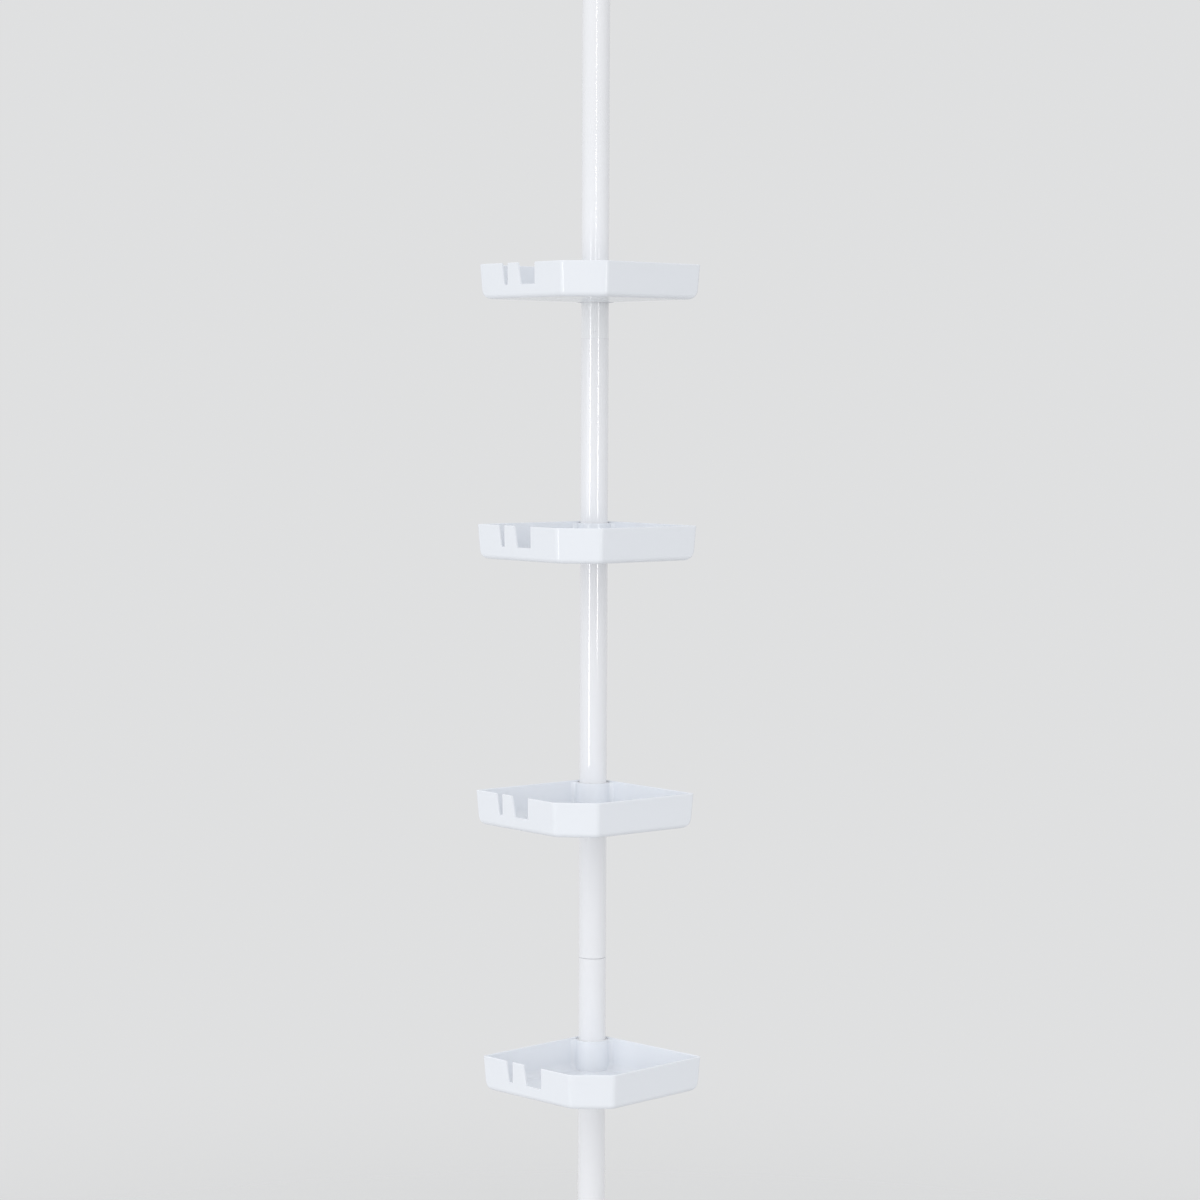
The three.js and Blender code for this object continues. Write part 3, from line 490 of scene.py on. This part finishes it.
def studio():
    """Four lamps, and a sky that is brightest from above, a little to the left and the front. The
    camera and the gloss on the pieces see an even backdrop in its place."""
    soft_light("left window", degrees=-52, height=1.02, width=1.1, tall=0.42, watts=1.5)
    soft_light("left strip", degrees=-33, height=0.86, width=0.25, tall=1.02, watts=8.4)
    soft_light("right strip", degrees=34, height=1.00, width=0.22, tall=0.70, watts=5.0,
               colour=(1.0, 0.98, 0.96))
    soft_light("high strip", degrees=9, height=1.86, width=0.08, tall=1.0, watts=4.4)
    brightest_side = (-0.22, -0.33, 0.92)
    dimmest, brightest = 0.25, 1.15
    world = bpy.data.worlds.new("studio")
    world.use_nodes = True
    nodes, links = world.node_tree.nodes, world.node_tree.links
    nodes.clear()
    seen = nodes.new("ShaderNodeBackground")
    seen.inputs["Color"].default_value = (0.74, 0.745, 0.75, 1)
    seen.inputs["Strength"].default_value = 1
    lit = nodes.new("ShaderNodeBackground")
    lit.inputs["Color"].default_value = (0.98, 0.99, 1.0, 1)
    direction = nodes.new("ShaderNodeTexCoord")
    toward = nodes.new("ShaderNodeVectorMath")
    toward.operation = "DOT_PRODUCT"
    toward.inputs[1].default_value = brightest_side
    rise = nodes.new("ShaderNodeMapRange")
    rise.inputs["From Min"].default_value = -1
    rise.inputs["To Min"].default_value = dimmest
    rise.inputs["To Max"].default_value = brightest
    links.new(direction.outputs["Generated"], toward.inputs[0])
    links.new(toward.outputs["Value"], rise.inputs["Value"])
    links.new(rise.outputs["Result"], lit.inputs["Strength"])
    path = nodes.new("ShaderNodeLightPath")
    straight, through = (nodes.new("ShaderNodeMath") for _ in range(2))
    straight.operation = through.operation = "MAXIMUM"
    mix = nodes.new("ShaderNodeMixShader")
    output = nodes.new("ShaderNodeOutputWorld")
    links.new(path.outputs["Is Camera Ray"], straight.inputs[0])
    links.new(path.outputs["Is Glossy Ray"], straight.inputs[1])
    links.new(straight.outputs[0], through.inputs[0])
    links.new(path.outputs["Is Transmission Ray"], through.inputs[1])
    links.new(through.outputs[0], mix.inputs["Fac"])
    links.new(lit.outputs[0], mix.inputs[1])
    links.new(seen.outputs[0], mix.inputs[2])
    links.new(mix.outputs[0], output.inputs["Surface"])
    bpy.context.scene.world = world
    bpy.context.scene.view_settings.view_transform = "Standard"


# Trays

# The plan's five sides: facing angle, distance from the pole's axis, whether it is a rear one,
# and the rounding of the corner that follows it
SIDES = (
    (-90, REAR_OFFSET, True, SIDE_CORNER),
    (0, REACH, False, FRONT_CORNER),
    (45, CUT_REACH, False, FRONT_CORNER),
    (90, REACH, False, SIDE_CORNER),
    (180, REAR_OFFSET, True, REAR_CORNER),
)


def tray_outline(front_inset, rear_inset, round_inset):
    """The plan with its front and rear sides moved inward, each by its own amount."""
    points = []
    for i, (degrees, distance, rear, rounding) in enumerate(SIDES):
        next_degrees, next_distance, next_rear = SIDES[(i + 1) % len(SIDES)][:3]
        rounding -= round_inset
        first = math.radians(degrees)
        turn = math.radians((next_degrees - degrees) % 360)
        second = first + turn
        d1 = distance - (rear_inset if rear else front_inset) - rounding
        d2 = next_distance - (rear_inset if next_rear else front_inset) - rounding
        x = (d1 * math.sin(second) - d2 * math.sin(first)) / math.sin(turn)
        y = (d2 * math.cos(first) - d1 * math.cos(second)) / math.sin(turn)
        for k in range(CORNER_STEPS + 1):
            angle = first + turn * k / CORNER_STEPS
            points.append((x + rounding * math.cos(angle), y + rounding * math.sin(angle)))
    return points


def fillet_inset(radius, height):
    left = max(radius - height, 0)
    return radius - math.sqrt(radius * radius - left * left)


def draft_at(height):
    return TRAY_DRAFT * (TRAY_HEIGHT - height)


def quarter(steps):
    return [i / steps * math.pi / 2 for i in range(steps + 1)]


def lofted(name, outlines):
    """A closed piece through a stack of outlines, each a list of points in the same order."""
    shape = bmesh.new()
    loops = [[shape.verts.new(point) for point in outline] for outline in outlines]
    for lower, upper in zip(loops, loops[1:]):
        for i in range(len(lower)):
            j = (i + 1) % len(lower)
            shape.faces.new((lower[i], lower[j], upper[j], upper[i]))
    shape.faces.new(loops[0])
    shape.faces.new(loops[-1])
    bmesh.ops.recalc_face_normals(shape, faces=shape.faces)
    mesh = bpy.data.meshes.new(name)
    shape.to_mesh(mesh)
    shape.free()
    piece = bpy.data.objects.new(name, mesh)
    bpy.context.scene.collection.objects.link(piece)
    return piece


def tray_shell():
    """The drafted five-sided shell, whose fillets differ from wall to wall: outside going up,
    over the rounded rim, and down the inside to the floor."""
    fillet_steps, rim_steps = 12, 4
    levels = []
    for angle in quarter(fillet_steps):
        height = REAR_FILLET * (1 - math.cos(angle))
        levels.append((height, draft_at(height) + fillet_inset(FRONT_FILLET, height),
                       draft_at(height) + fillet_inset(REAR_FILLET, height), 0))
    for angle in quarter(rim_steps):
        height = TRAY_HEIGHT - RIM_ROUND * (1 - math.sin(angle))
        inset = draft_at(height) + RIM_ROUND * (1 - math.cos(angle))
        levels.append((height, inset, inset, RIM_ROUND * (1 - math.cos(angle))))
    for angle in reversed(quarter(rim_steps)):
        height = TRAY_HEIGHT - RIM_ROUND * (1 - math.sin(angle))
        inset = TRAY_WALL + draft_at(height) - RIM_ROUND * (1 - math.cos(angle))
        levels.append((height, inset, inset, TRAY_WALL - RIM_ROUND * (1 - math.cos(angle))))
    for angle in reversed(quarter(fillet_steps)):
        rise = (REAR_FILLET - TRAY_WALL) * (1 - math.cos(angle))
        height = TRAY_FLOOR + rise
        wall = TRAY_WALL + draft_at(height)
        levels.append((height, wall + fillet_inset(FRONT_FILLET - TRAY_WALL, rise),
                       wall + fillet_inset(REAR_FILLET - TRAY_WALL, rise), TRAY_WALL))
    return lofted("tray", [
        [(x, y, height) for x, y in tray_outline(front_inset, rear_inset, round_inset)]
        for height, front_inset, rear_inset, round_inset in levels])


def hub_fillet(side):
    """The hollow rounding between the hub and one rear wall, as a block with a scooped side. Low
    down it follows the rounding between wall and floor, so that nothing stands out under the
    tray."""
    rounding, steps, rises = 3.5 * MM, 10, 8
    tuck = 0.95  # how far the block reaches into the hub
    foot_fillet = REAR_FILLET - TRAY_WALL
    heights = [TRAY_FLOOR + foot_fillet * (1 - math.cos(angle)) for angle in quarter(rises)]
    outlines = []
    for height in [TRAY_FLOOR / 2] + heights + [HUB_TOP]:
        hub = HUB_BOTTOM_RADIUS + (HUB_TOP_RADIUS - HUB_BOTTOM_RADIUS) * height / HUB_TOP
        wall = (REAR_OFFSET - TRAY_WALL - draft_at(height)
                - fillet_inset(foot_fillet, max(height - TRAY_FLOOR, 0)))
        across = wall - rounding
        along = math.sqrt((hub + rounding) ** 2 - across ** 2)
        first, last = math.pi / 2, math.pi + math.atan2(across, along)
        points = []
        for i in range(steps + 1):
            angle = first + (last - first) * i / steps
            points.append((along + rounding * math.cos(angle),
                           across + rounding * math.sin(angle)))
        within = wall + TRAY_WALL / 2
        points += [(tuck * points[-1][0], points[-1][1]),
                   (tuck * math.sqrt(hub ** 2 - within ** 2), within), (along, within)]
        outlines.append([(x, -y, height) if side > 0 else (-y, x, height) for x, y in points])
    return lofted("hub_fillet", outlines)


def slot_cutter(start, top_width, foot_width):
    """A block across the left front wall, wider at its top, and more so to the left."""
    nothing_selected()
    slant = (top_width - foot_width) / SLOT_DEPTH
    height = SLOT_DEPTH + OVERRUN
    depth = FRONT_CORNER + OVERRUN
    foot = start - REAR_OFFSET + slant * SLOT_LEFT_SHARE * SLOT_DEPTH
    middle = Vector((REACH + OVERRUN - depth / 2, foot + foot_width / 2,
                     TRAY_HEIGHT - SLOT_DEPTH + height / 2))
    bpy.ops.mesh.primitive_cube_add(size=1, location=middle, scale=(depth, foot_width, height))
    cutter = name_active("slot_cutter")
    place_in_mesh(cutter)
    select_faces(cutter, lambda polygon: polygon.normal.z > 0.5)
    spread = 1 + slant * height / foot_width
    bpy.ops.transform.resize(value=(1, spread, 1), center_override=middle)
    bpy.ops.transform.translate(value=(0, slant * height * (0.5 - SLOT_LEFT_SHARE), 0))
    bpy.ops.object.mode_set(mode="OBJECT")
    select_edges(cutter, lambda a, b: abs(a.x - b.x) > depth / 2 and a.z < middle.z)
    bpy.ops.mesh.bevel(offset=SLOT_FOOT_ROUND, segments=4, affect="EDGES")
    bpy.ops.object.mode_set(mode="OBJECT")
    return cutter


def drain_cutter():
    """All the drain holes' cutters: the rows lie square to the tray's front-to-back line."""
    cutters = []
    for row, holes in enumerate(DRAIN_ROWS):
        along = DRAIN_REAR_ROW + row * DRAIN_PITCH
        for hole in range(holes):
            side = (hole - (holes - 1) / 2) * DRAIN_PITCH
            nothing_selected()
            bpy.ops.mesh.primitive_cylinder_add(
                vertices=32, radius=DRAIN_RADIUS, depth=TRAY_FLOOR + 2 * OVERRUN,
                location=((along - side) / math.sqrt(2), (along + side) / math.sqrt(2),
                          TRAY_FLOOR / 2))
            cutters.append(name_active("drain_cutter"))
    only(cutters[0])
    for cutter in cutters:
        cutter.select_set(True)
    bpy.ops.object.join()
    joined = bpy.context.object
    place_in_mesh(joined)
    return joined


def cone(name, bottom_radius, top_radius, bottom, top):
    nothing_selected()
    bpy.ops.mesh.primitive_cone_add(
        vertices=TUBE_SIDES, radius1=bottom_radius, radius2=top_radius, depth=top - bottom,
        location=(0, 0, (top + bottom) / 2))
    piece = name_active(name)
    place_in_mesh(piece)
    return piece


def rounded_on_tray(place):
    """Slots, drain holes, and the hub's top edge where it stands clear of the walls."""
    near = 0.1 * MM
    clear_of_walls = TRAY_WALL - REAR_OFFSET + 5 * MM
    across = place.to_2d().length
    in_slot = place.x > REACH - TRAY_WALL - FRONT_CORNER
    in_floor = place.z < TRAY_FLOOR + near and across > 2 * HUB_BOTTOM_RADIUS
    on_hub_top = abs(place.z - HUB_TOP) < near and across < HUB_BOTTOM_RADIUS
    return in_slot or in_floor or (on_hub_top and min(place.x, place.y) > clear_of_walls)


def model_tray():
    tray = tray_shell()
    cut_with(tray, cone("hub", HUB_BOTTOM_RADIUS, HUB_TOP_RADIUS, 0, HUB_TOP), "UNION")
    for side in (1, -1):
        cut_with(tray, hub_fillet(side), "UNION")
    headroom = TUBE_RADIUS + SEAT_GAP
    cut_with(tray, cone("headroom", headroom, headroom, HUB_TOP, TRAY_HEIGHT + OVERRUN))
    flare = (BORE_BOTTOM_RADIUS - BORE_TOP_RADIUS) * OVERRUN / HUB_TOP
    just_over_hub = HUB_TOP + 0.05 * MM
    cut_with(tray, cone("bore", BORE_BOTTOM_RADIUS + flare, BORE_TOP_RADIUS, -OVERRUN,
                        just_over_hub))
    for start, top_width, foot_width in SLOTS:
        cut_with(tray, slot_cutter(start, top_width, foot_width))
    cut_with(tray, drain_cutter())
    tidy_cuts(tray)
    soften_sharp(tray, TRAY_EDGE, rounded_on_tray)
    smooth(tray, 30)
    return tray


def trays():
    pattern = model_tray()
    for number, degrees in SHELVES:
        node = f"tray_{number}"
        low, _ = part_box(node)
        tray = copied(pattern, f"{node}_body")
        turn = Matrix.Rotation(SHELF_TURN_BACK + math.radians(degrees), 4, "Z")
        tray.data.transform(Matrix.Translation((0, 0, low.z)) @ turn)
        finish_piece(tray, TRAY_PLASTIC, f"shelf_{number}", node)
    bpy.data.objects.remove(pattern)


# Clips

def model_clip_half(side):
    """Half of a tapered split ring."""
    taper = (BORE_BOTTOM_RADIUS - BORE_TOP_RADIUS) / HUB_TOP
    height, chamfer, split = 28.4 * MM, 0.6 * MM, 1.4 * MM
    top = CLIP_FOOT + height
    inner = TUBE_RADIUS + SLIDE_GAP / 2
    ring = turned("clip_ring", [
        (inner, CLIP_FOOT),
        (BORE_BOTTOM_RADIUS - taper * CLIP_FOOT - SEAT_GAP - chamfer, CLIP_FOOT),
        (BORE_BOTTOM_RADIUS - taper * (CLIP_FOOT + chamfer) - SEAT_GAP, CLIP_FOOT + chamfer),
        (BORE_BOTTOM_RADIUS - taper * top - SEAT_GAP, top), (inner, top)], soft=0)
    nothing_selected()
    width = HUB_BOTTOM_RADIUS
    bpy.ops.mesh.primitive_cube_add(
        size=1, location=(side * (width + split) / 2, 0, CLIP_FOOT + height / 2),
        scale=(width, 2 * width, 2 * height))
    keeper = name_active("clip_side")
    place_in_mesh(keeper)
    cut_with(ring, keeper, "INTERSECT")
    soften_edges(ring, MOULDED_EDGE, degrees=50, segments=2)
    smooth(ring)
    return ring


def clips():
    for side, word in ((-1, "left"), (1, "right")):
        pattern = model_clip_half(side)
        for number, degrees in SHELVES:
            node = f"clip_{number}_{word}"
            low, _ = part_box(node)
            half = copied(pattern, f"{node}_body")
            turn = Matrix.Rotation(math.radians(degrees), 4, "Z")
            half.data.transform(Matrix.Translation((0, 0, low.z - CLIP_FOOT)) @ turn)
            finish_piece(half, SATIN_PLASTIC, f"clips_{number}", node)
        bpy.data.objects.remove(pattern)


# Pole

def tube(node, radius, bore, body):
    low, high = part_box(node)
    piece = turned(f"{node}_body", [
        (radius, low.z), (radius, high.z), (bore, high.z), (bore, low.z)], soft=TUBE_EDGE)
    finish_piece(piece, PAINT, body, node)


def lower_tube():
    low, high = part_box("lower_tube")
    neck_length = 40 * MM
    shoulder = 0.8 * MM
    straight_share = 0.8  # of the shoulder, before it turns in to the neck
    seam = high.z - neck_length
    start = seam - SEAT_GAP - shoulder
    neck_bore = SPIGOT_RADIUS - TUBE_WALL
    piece = turned("lower_tube_body", [
        (TUBE_RADIUS, low.z), (TUBE_RADIUS, start + straight_share * shoulder),
        (TUBE_RADIUS - TUBE_WALL / 2, seam - SEAT_GAP), (SPIGOT_RADIUS, seam),
        (SPIGOT_RADIUS, high.z - LEAD_IN), (SPIGOT_RADIUS - TUBE_WALL / 2, high.z),
        (neck_bore, high.z), (neck_bore, start),
        (TUBE_BORE, start - shoulder), (TUBE_BORE, low.z)], soft=TUBE_EDGE)
    finish_piece(piece, PAINT, "pole", "lower_tube")


def joint_coupler():
    low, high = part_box("joint_coupler")
    spigot, spigot_wall, collar_edge = 34 * MM, 1.8 * MM, 0.06 * MM
    mark_radius, mark_depth, mark_rise = 2 * MM, 0.6 * MM, 6.5 * MM
    bore = SPIGOT_RADIUS - spigot_wall
    butt = 0.9 * SEAT_GAP  # the collar comes this much nearer the tubes, to close the seams
    collar_low, collar_high = low.z + spigot - butt, high.z - spigot + butt
    piece = turned("joint_coupler_body", [
        (SPIGOT_RADIUS - LEAD_IN / 2, low.z), (SPIGOT_RADIUS, low.z + LEAD_IN),
        (SPIGOT_RADIUS, collar_low), (TUBE_RADIUS, collar_low),
        (TUBE_RADIUS, collar_high), (SPIGOT_RADIUS, collar_high),
        (SPIGOT_RADIUS, high.z - LEAD_IN), (SPIGOT_RADIUS - LEAD_IN / 2, high.z),
        (bore, high.z), (bore, low.z)], soft=collar_edge)
    nothing_selected()
    bpy.ops.mesh.primitive_uv_sphere_add(
        segments=32, ring_count=16, radius=mark_radius,
        location=(0, -TUBE_RADIUS - (mark_radius - mark_depth), collar_low + mark_rise))
    mark = name_active("gate_mark")
    place_in_mesh(mark)
    cut_with(piece, mark)
    smooth(piece)
    finish_piece(piece, GLOSS_PLASTIC, "pole", "joint_coupler")


# Twist lock

def lock_collet():
    low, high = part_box("lock_collet")
    socket_radius = TUBE_RADIUS + SEAT_GAP
    outer = socket_radius + COLLET_WALL
    tube_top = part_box("upper_tube")[1].z + SEAT_GAP
    step_top = tube_top + COLLET_STEP
    piece = turned("lock_collet_body", [
        (outer, low.z), (outer, step_top),
        (COLLET_BORE + COLLET_FINGER_FOOT, step_top), (COLLET_BORE + COLLET_FINGER_TOP, high.z),
        (COLLET_BORE, high.z), (COLLET_BORE, tube_top),
        (socket_radius, tube_top), (socket_radius, low.z)], soft=0)
    slit, slits = 1.6 * MM, 4
    height = high.z - step_top + OVERRUN
    for i in range(slits):
        angle = (i + 0.5) / slits * 2 * math.pi
        x, y = outer / 2 * math.cos(angle), outer / 2 * math.sin(angle)
        nothing_selected()
        bpy.ops.mesh.primitive_cube_add(
            size=1, location=(x, y, step_top + height / 2),
            rotation=(0, 0, angle), scale=(outer, slit, height))
        cutter = name_active("collet_slit")
        place_in_mesh(cutter)
        cut_with(piece, cutter)
    soften_edges(piece, MOULDED_EDGE, degrees=50, segments=2)
    smooth(piece)
    finish_piece(piece, SATIN_PLASTIC, "pole", "lock_collet")


def lock_nut():
    """A ribbed ring: the ribs are drawn out of a smooth drum, and its chamber is cut out."""
    low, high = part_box("lock_nut")
    ribs, rib_depth, radius = 16, 1.1 * MM, 18.6 * MM
    sides_per_rib = 8
    pitch, half_rib = 360 / ribs, 80 / ribs  # degrees
    nothing_selected()
    bpy.ops.mesh.primitive_cylinder_add(
        vertices=ribs * sides_per_rib, radius=radius - rib_depth, depth=high.z - low.z,
        location=(0, 0, (high.z + low.z) / 2), end_fill_type="NGON")
    piece = name_active("lock_nut_body")
    place_in_mesh(piece)

    def on_rib(polygon):
        angle = math.degrees(math.atan2(polygon.center.y, polygon.center.x)) % pitch
        return abs(polygon.normal.z) < 0.5 and (angle < half_rib or angle > pitch - half_rib)

    select_faces(piece, on_rib)
    bpy.ops.mesh.extrude_region_shrink_fatten(TRANSFORM_OT_shrink_fatten={"value": rib_depth})
    bpy.ops.mesh.select_all(action="SELECT")
    bpy.ops.mesh.normals_make_consistent(inside=False)
    bpy.ops.object.mode_set(mode="OBJECT")
    low_chamfer, high_chamfer = 1.2 * MM, 2.2 * MM
    clear = radius + 0.1 * MM
    envelope = turned("nut_envelope", [
        (radius - low_chamfer, low.z), (clear, low.z + low_chamfer),
        (clear, high.z - high_chamfer), (radius - high_chamfer, high.z)], soft=0, solid=True)
    cut_with(piece, envelope, "INTERSECT")
    _, collet_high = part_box("lock_collet")
    skirt = TUBE_RADIUS + 2 * SEAT_GAP + COLLET_WALL
    step_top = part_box("upper_tube")[1].z + SEAT_GAP + COLLET_STEP + SEAT_GAP
    chamber_top = collet_high.z + SEAT_GAP
    chamber = turned("nut_chamber", [
        (skirt, low.z - OVERRUN), (skirt, step_top),
        (COLLET_BORE + COLLET_FINGER_FOOT + SEAT_GAP, step_top),
        (COLLET_BORE + COLLET_FINGER_TOP + SEAT_GAP, chamber_top),
        (COLLET_BORE, chamber_top), (COLLET_BORE, high.z + OVERRUN)], soft=0, solid=True)
    cut_with(piece, chamber)
    tidy_cuts(piece)
    soften_edges(piece, MOULDED_EDGE, degrees=40, segments=2, clamped=False)
    smooth(piece)
    finish_piece(piece, SATIN_PLASTIC, "lock_nut", "lock_nut")


# Sprung end

def tube_glide():
    low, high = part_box("tube_glide")
    collar_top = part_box("extension_tube")[0].z - SEAT_GAP
    collar, wall = TUBE_BORE - SLIDE_GAP, 2 * MM
    bore = PLUG_RADIUS - wall
    piece = turned("tube_glide_body", [
        (collar - LEAD_IN, low.z), (collar, low.z + LEAD_IN), (collar, collar_top),
        (PLUG_RADIUS, collar_top), (PLUG_RADIUS, high.z), (bore, high.z), (bore, low.z)])
    finish_piece(piece, SATIN_PLASTIC, "extension", "tube_glide")


def spring_seat():
    low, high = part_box("spring_seat")
    bore = 3 * MM
    piece = turned("spring_seat_body", [
        (PLUG_RADIUS, low.z), (PLUG_RADIUS, high.z), (bore, high.z), (bore, low.z)], sides=64)
    finish_piece(piece, SATIN_PLASTIC, "extension", "spring_seat")


def top_bush():
    low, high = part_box("top_bush")
    bore = STEM_RADIUS + SLIDE_GAP
    flange_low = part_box("extension_tube")[1].z + SEAT_GAP
    piece = turned("top_bush_body", [
        (PLUG_RADIUS, low.z), (PLUG_RADIUS, flange_low), (EXTENSION_RADIUS, flange_low),
        (EXTENSION_RADIUS, high.z), (bore, high.z), (bore, low.z)], soft=0.5 * MM)
    finish_piece(piece, SATIN_PLASTIC, "extension", "top_bush")


def plunger():
    low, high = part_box("plunger")
    guide, guide_length, piston = 5 * MM, 26 * MM, 8 * MM
    piston_low = low.z + guide_length
    piece = turned("plunger_body", [
        (guide, low.z), (guide, piston_low),
        (PLUG_RADIUS, piston_low), (PLUG_RADIUS, piston_low + piston),
        (STEM_RADIUS, piston_low + piston), (STEM_RADIUS, high.z)],
        sides=96, soft=0.6 * MM, solid=True)
    finish_piece(piece, ZINC_STEEL, "sprung_end", "plunger")


def tension_spring():
    """One wire on a helix, close-wound for a turn at each end. The plunger presses on it, but it
    is drawn at one fixed length.
    """
    low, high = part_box("tension_spring")
    wire, coil, turns, end_turns, end_pitch = 2 * MM, 7.6 * MM, 13, 1, 2.7 * MM
    steps_a_turn = 32
    end_rise = end_turns * end_pitch
    open_rise = high.z - low.z - wire - 2 * end_rise
    curve = bpy.data.curves.new("tension_spring_body", "CURVE")
    curve.dimensions = "3D"
    curve.bevel_depth = wire / 2
    curve.bevel_resolution = 4
    curve.use_fill_caps = True
    spline = curve.splines.new("POLY")
    count = turns * steps_a_turn + 1
    spline.points.add(count - 1)
    for i in range(count):
        turn = i / steps_a_turn
        opened = min(max((turn - end_turns) / (turns - 2 * end_turns), 0), 1)
        closed = min(turn, end_turns) + max(turn - (turns - end_turns), 0)
        angle = turn * 2 * math.pi
        height = low.z + wire / 2 + closed * end_pitch + opened * open_rise
        spline.points[i].co = (coil * math.cos(angle), coil * math.sin(angle), height, 1)
    spring = bpy.data.objects.new("tension_spring_body", curve)
    bpy.context.scene.collection.objects.link(spring)
    only(spring)
    bpy.ops.object.convert(target="MESH")
    bpy.ops.object.mode_set(mode="EDIT")
    bpy.ops.mesh.select_all(action="SELECT")
    bpy.ops.mesh.remove_doubles(threshold=0.01 * MM)
    bpy.ops.object.mode_set(mode="OBJECT")
    smooth(spring, 50)
    finish_piece(spring, SPRING_STEEL, "extension", "tension_spring")
    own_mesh(spring)


# Foot and ceiling ends: drawn standing up, and turned over for the ceiling

def stand(piece, flip):
    if flip:
        top = Vector(cad_box[1]).z
        piece.data.transform(Matrix.Translation((0, 0, top)) @ Matrix.Rotation(math.pi, 4, "X"))


def end_pad(name, node, body, flip):
    """A disc with round grooves below, and a boss above that the cup sits over."""
    edge = 1.5 * MM
    groove, groove_depth, groove_draft = 2 * MM, 1.2 * MM, 0.2 * MM
    first, pitch, grooves = 8 * MM, 7 * MM, 2
    rings = []
    for i in range(grooves):
        inner = first + i * pitch - groove / 2
        outer = inner + groove
        rings += [(inner, 0), (inner + groove_draft, groove_depth),
                  (outer - groove_draft, groove_depth), (outer, 0)]
    rings += [(PAD_RADIUS - edge, 0), (PAD_RADIUS, edge),
              (PAD_RADIUS, PAD_THICKNESS - edge), (PAD_RADIUS - edge, PAD_THICKNESS),
              (BOSS_RADIUS, PAD_THICKNESS), (BOSS_RADIUS, PAD_THICKNESS + BOSS_HEIGHT)]
    piece = turned(name, rings, sides=96, soft=0.35 * MM, solid=True)
    stand(piece, flip)
    finish_piece(piece, RUBBER, body, node)


def end_cup(name, node, body, flip, socket_radius, height, floor_height, land):
    """A socket that flares down to its base. Its neck stays straight for the land at its top."""
    wall, rim, lip = 2.4 * MM, 3 * MM, 1 * MM
    bottom = PAD_THICKNESS + SEAT_GAP
    bore = socket_radius + SEAT_GAP
    neck = bore + wall
    top = bottom + height
    flare_low, flare_high = bottom + rim, top - land
    rings = [(CUP_RADIUS, bottom), (CUP_RADIUS, flare_low - lip)]
    for angle in quarter(16):
        rings.append((CUP_RADIUS - lip - (CUP_RADIUS - lip - neck) * math.sin(angle),
                      flare_high - (flare_high - flare_low) * math.cos(angle)))
    rings += [(neck, top), (bore, top), (bore, bottom + floor_height)]
    cup = turned(name, rings, soft=0.45 * MM, solid=True)
    recess_radius = BOSS_RADIUS + SEAT_GAP
    cut_with(cup, cone("recess", recess_radius, recess_radius, bottom - OVERRUN,
                       PAD_THICKNESS + BOSS_HEIGHT + SEAT_GAP))
    smooth(cup)
    stand(cup, flip)
    finish_piece(cup, SATIN_PLASTIC, body, node)


photo_camera()
studio()
floor()
trays()
clips()
tube("middle_tube", TUBE_RADIUS, TUBE_BORE, "pole")
tube("upper_tube", TUBE_RADIUS, TUBE_BORE, "pole")
tube("extension_tube", EXTENSION_RADIUS, EXTENSION_BORE, "extension")
lower_tube()
joint_coupler()
lock_collet()
lock_nut()
tube_glide()
spring_seat()
top_bush()
plunger()
tension_spring()
end_pad("foot_pad_body", "foot_pad", "pole", flip=False)
end_cup("foot_cup_body", "foot_cup", "pole", flip=False,
        socket_radius=TUBE_RADIUS, height=34 * MM, floor_height=8 * MM, land=12 * MM)
end_pad("top_pad_body", "top_pad", "sprung_end", flip=True)
end_cup("top_cup_body", "top_cup", "sprung_end", flip=True,
        socket_radius=STEM_RADIUS, height=26 * MM, floor_height=8 * MM, land=7 * MM)
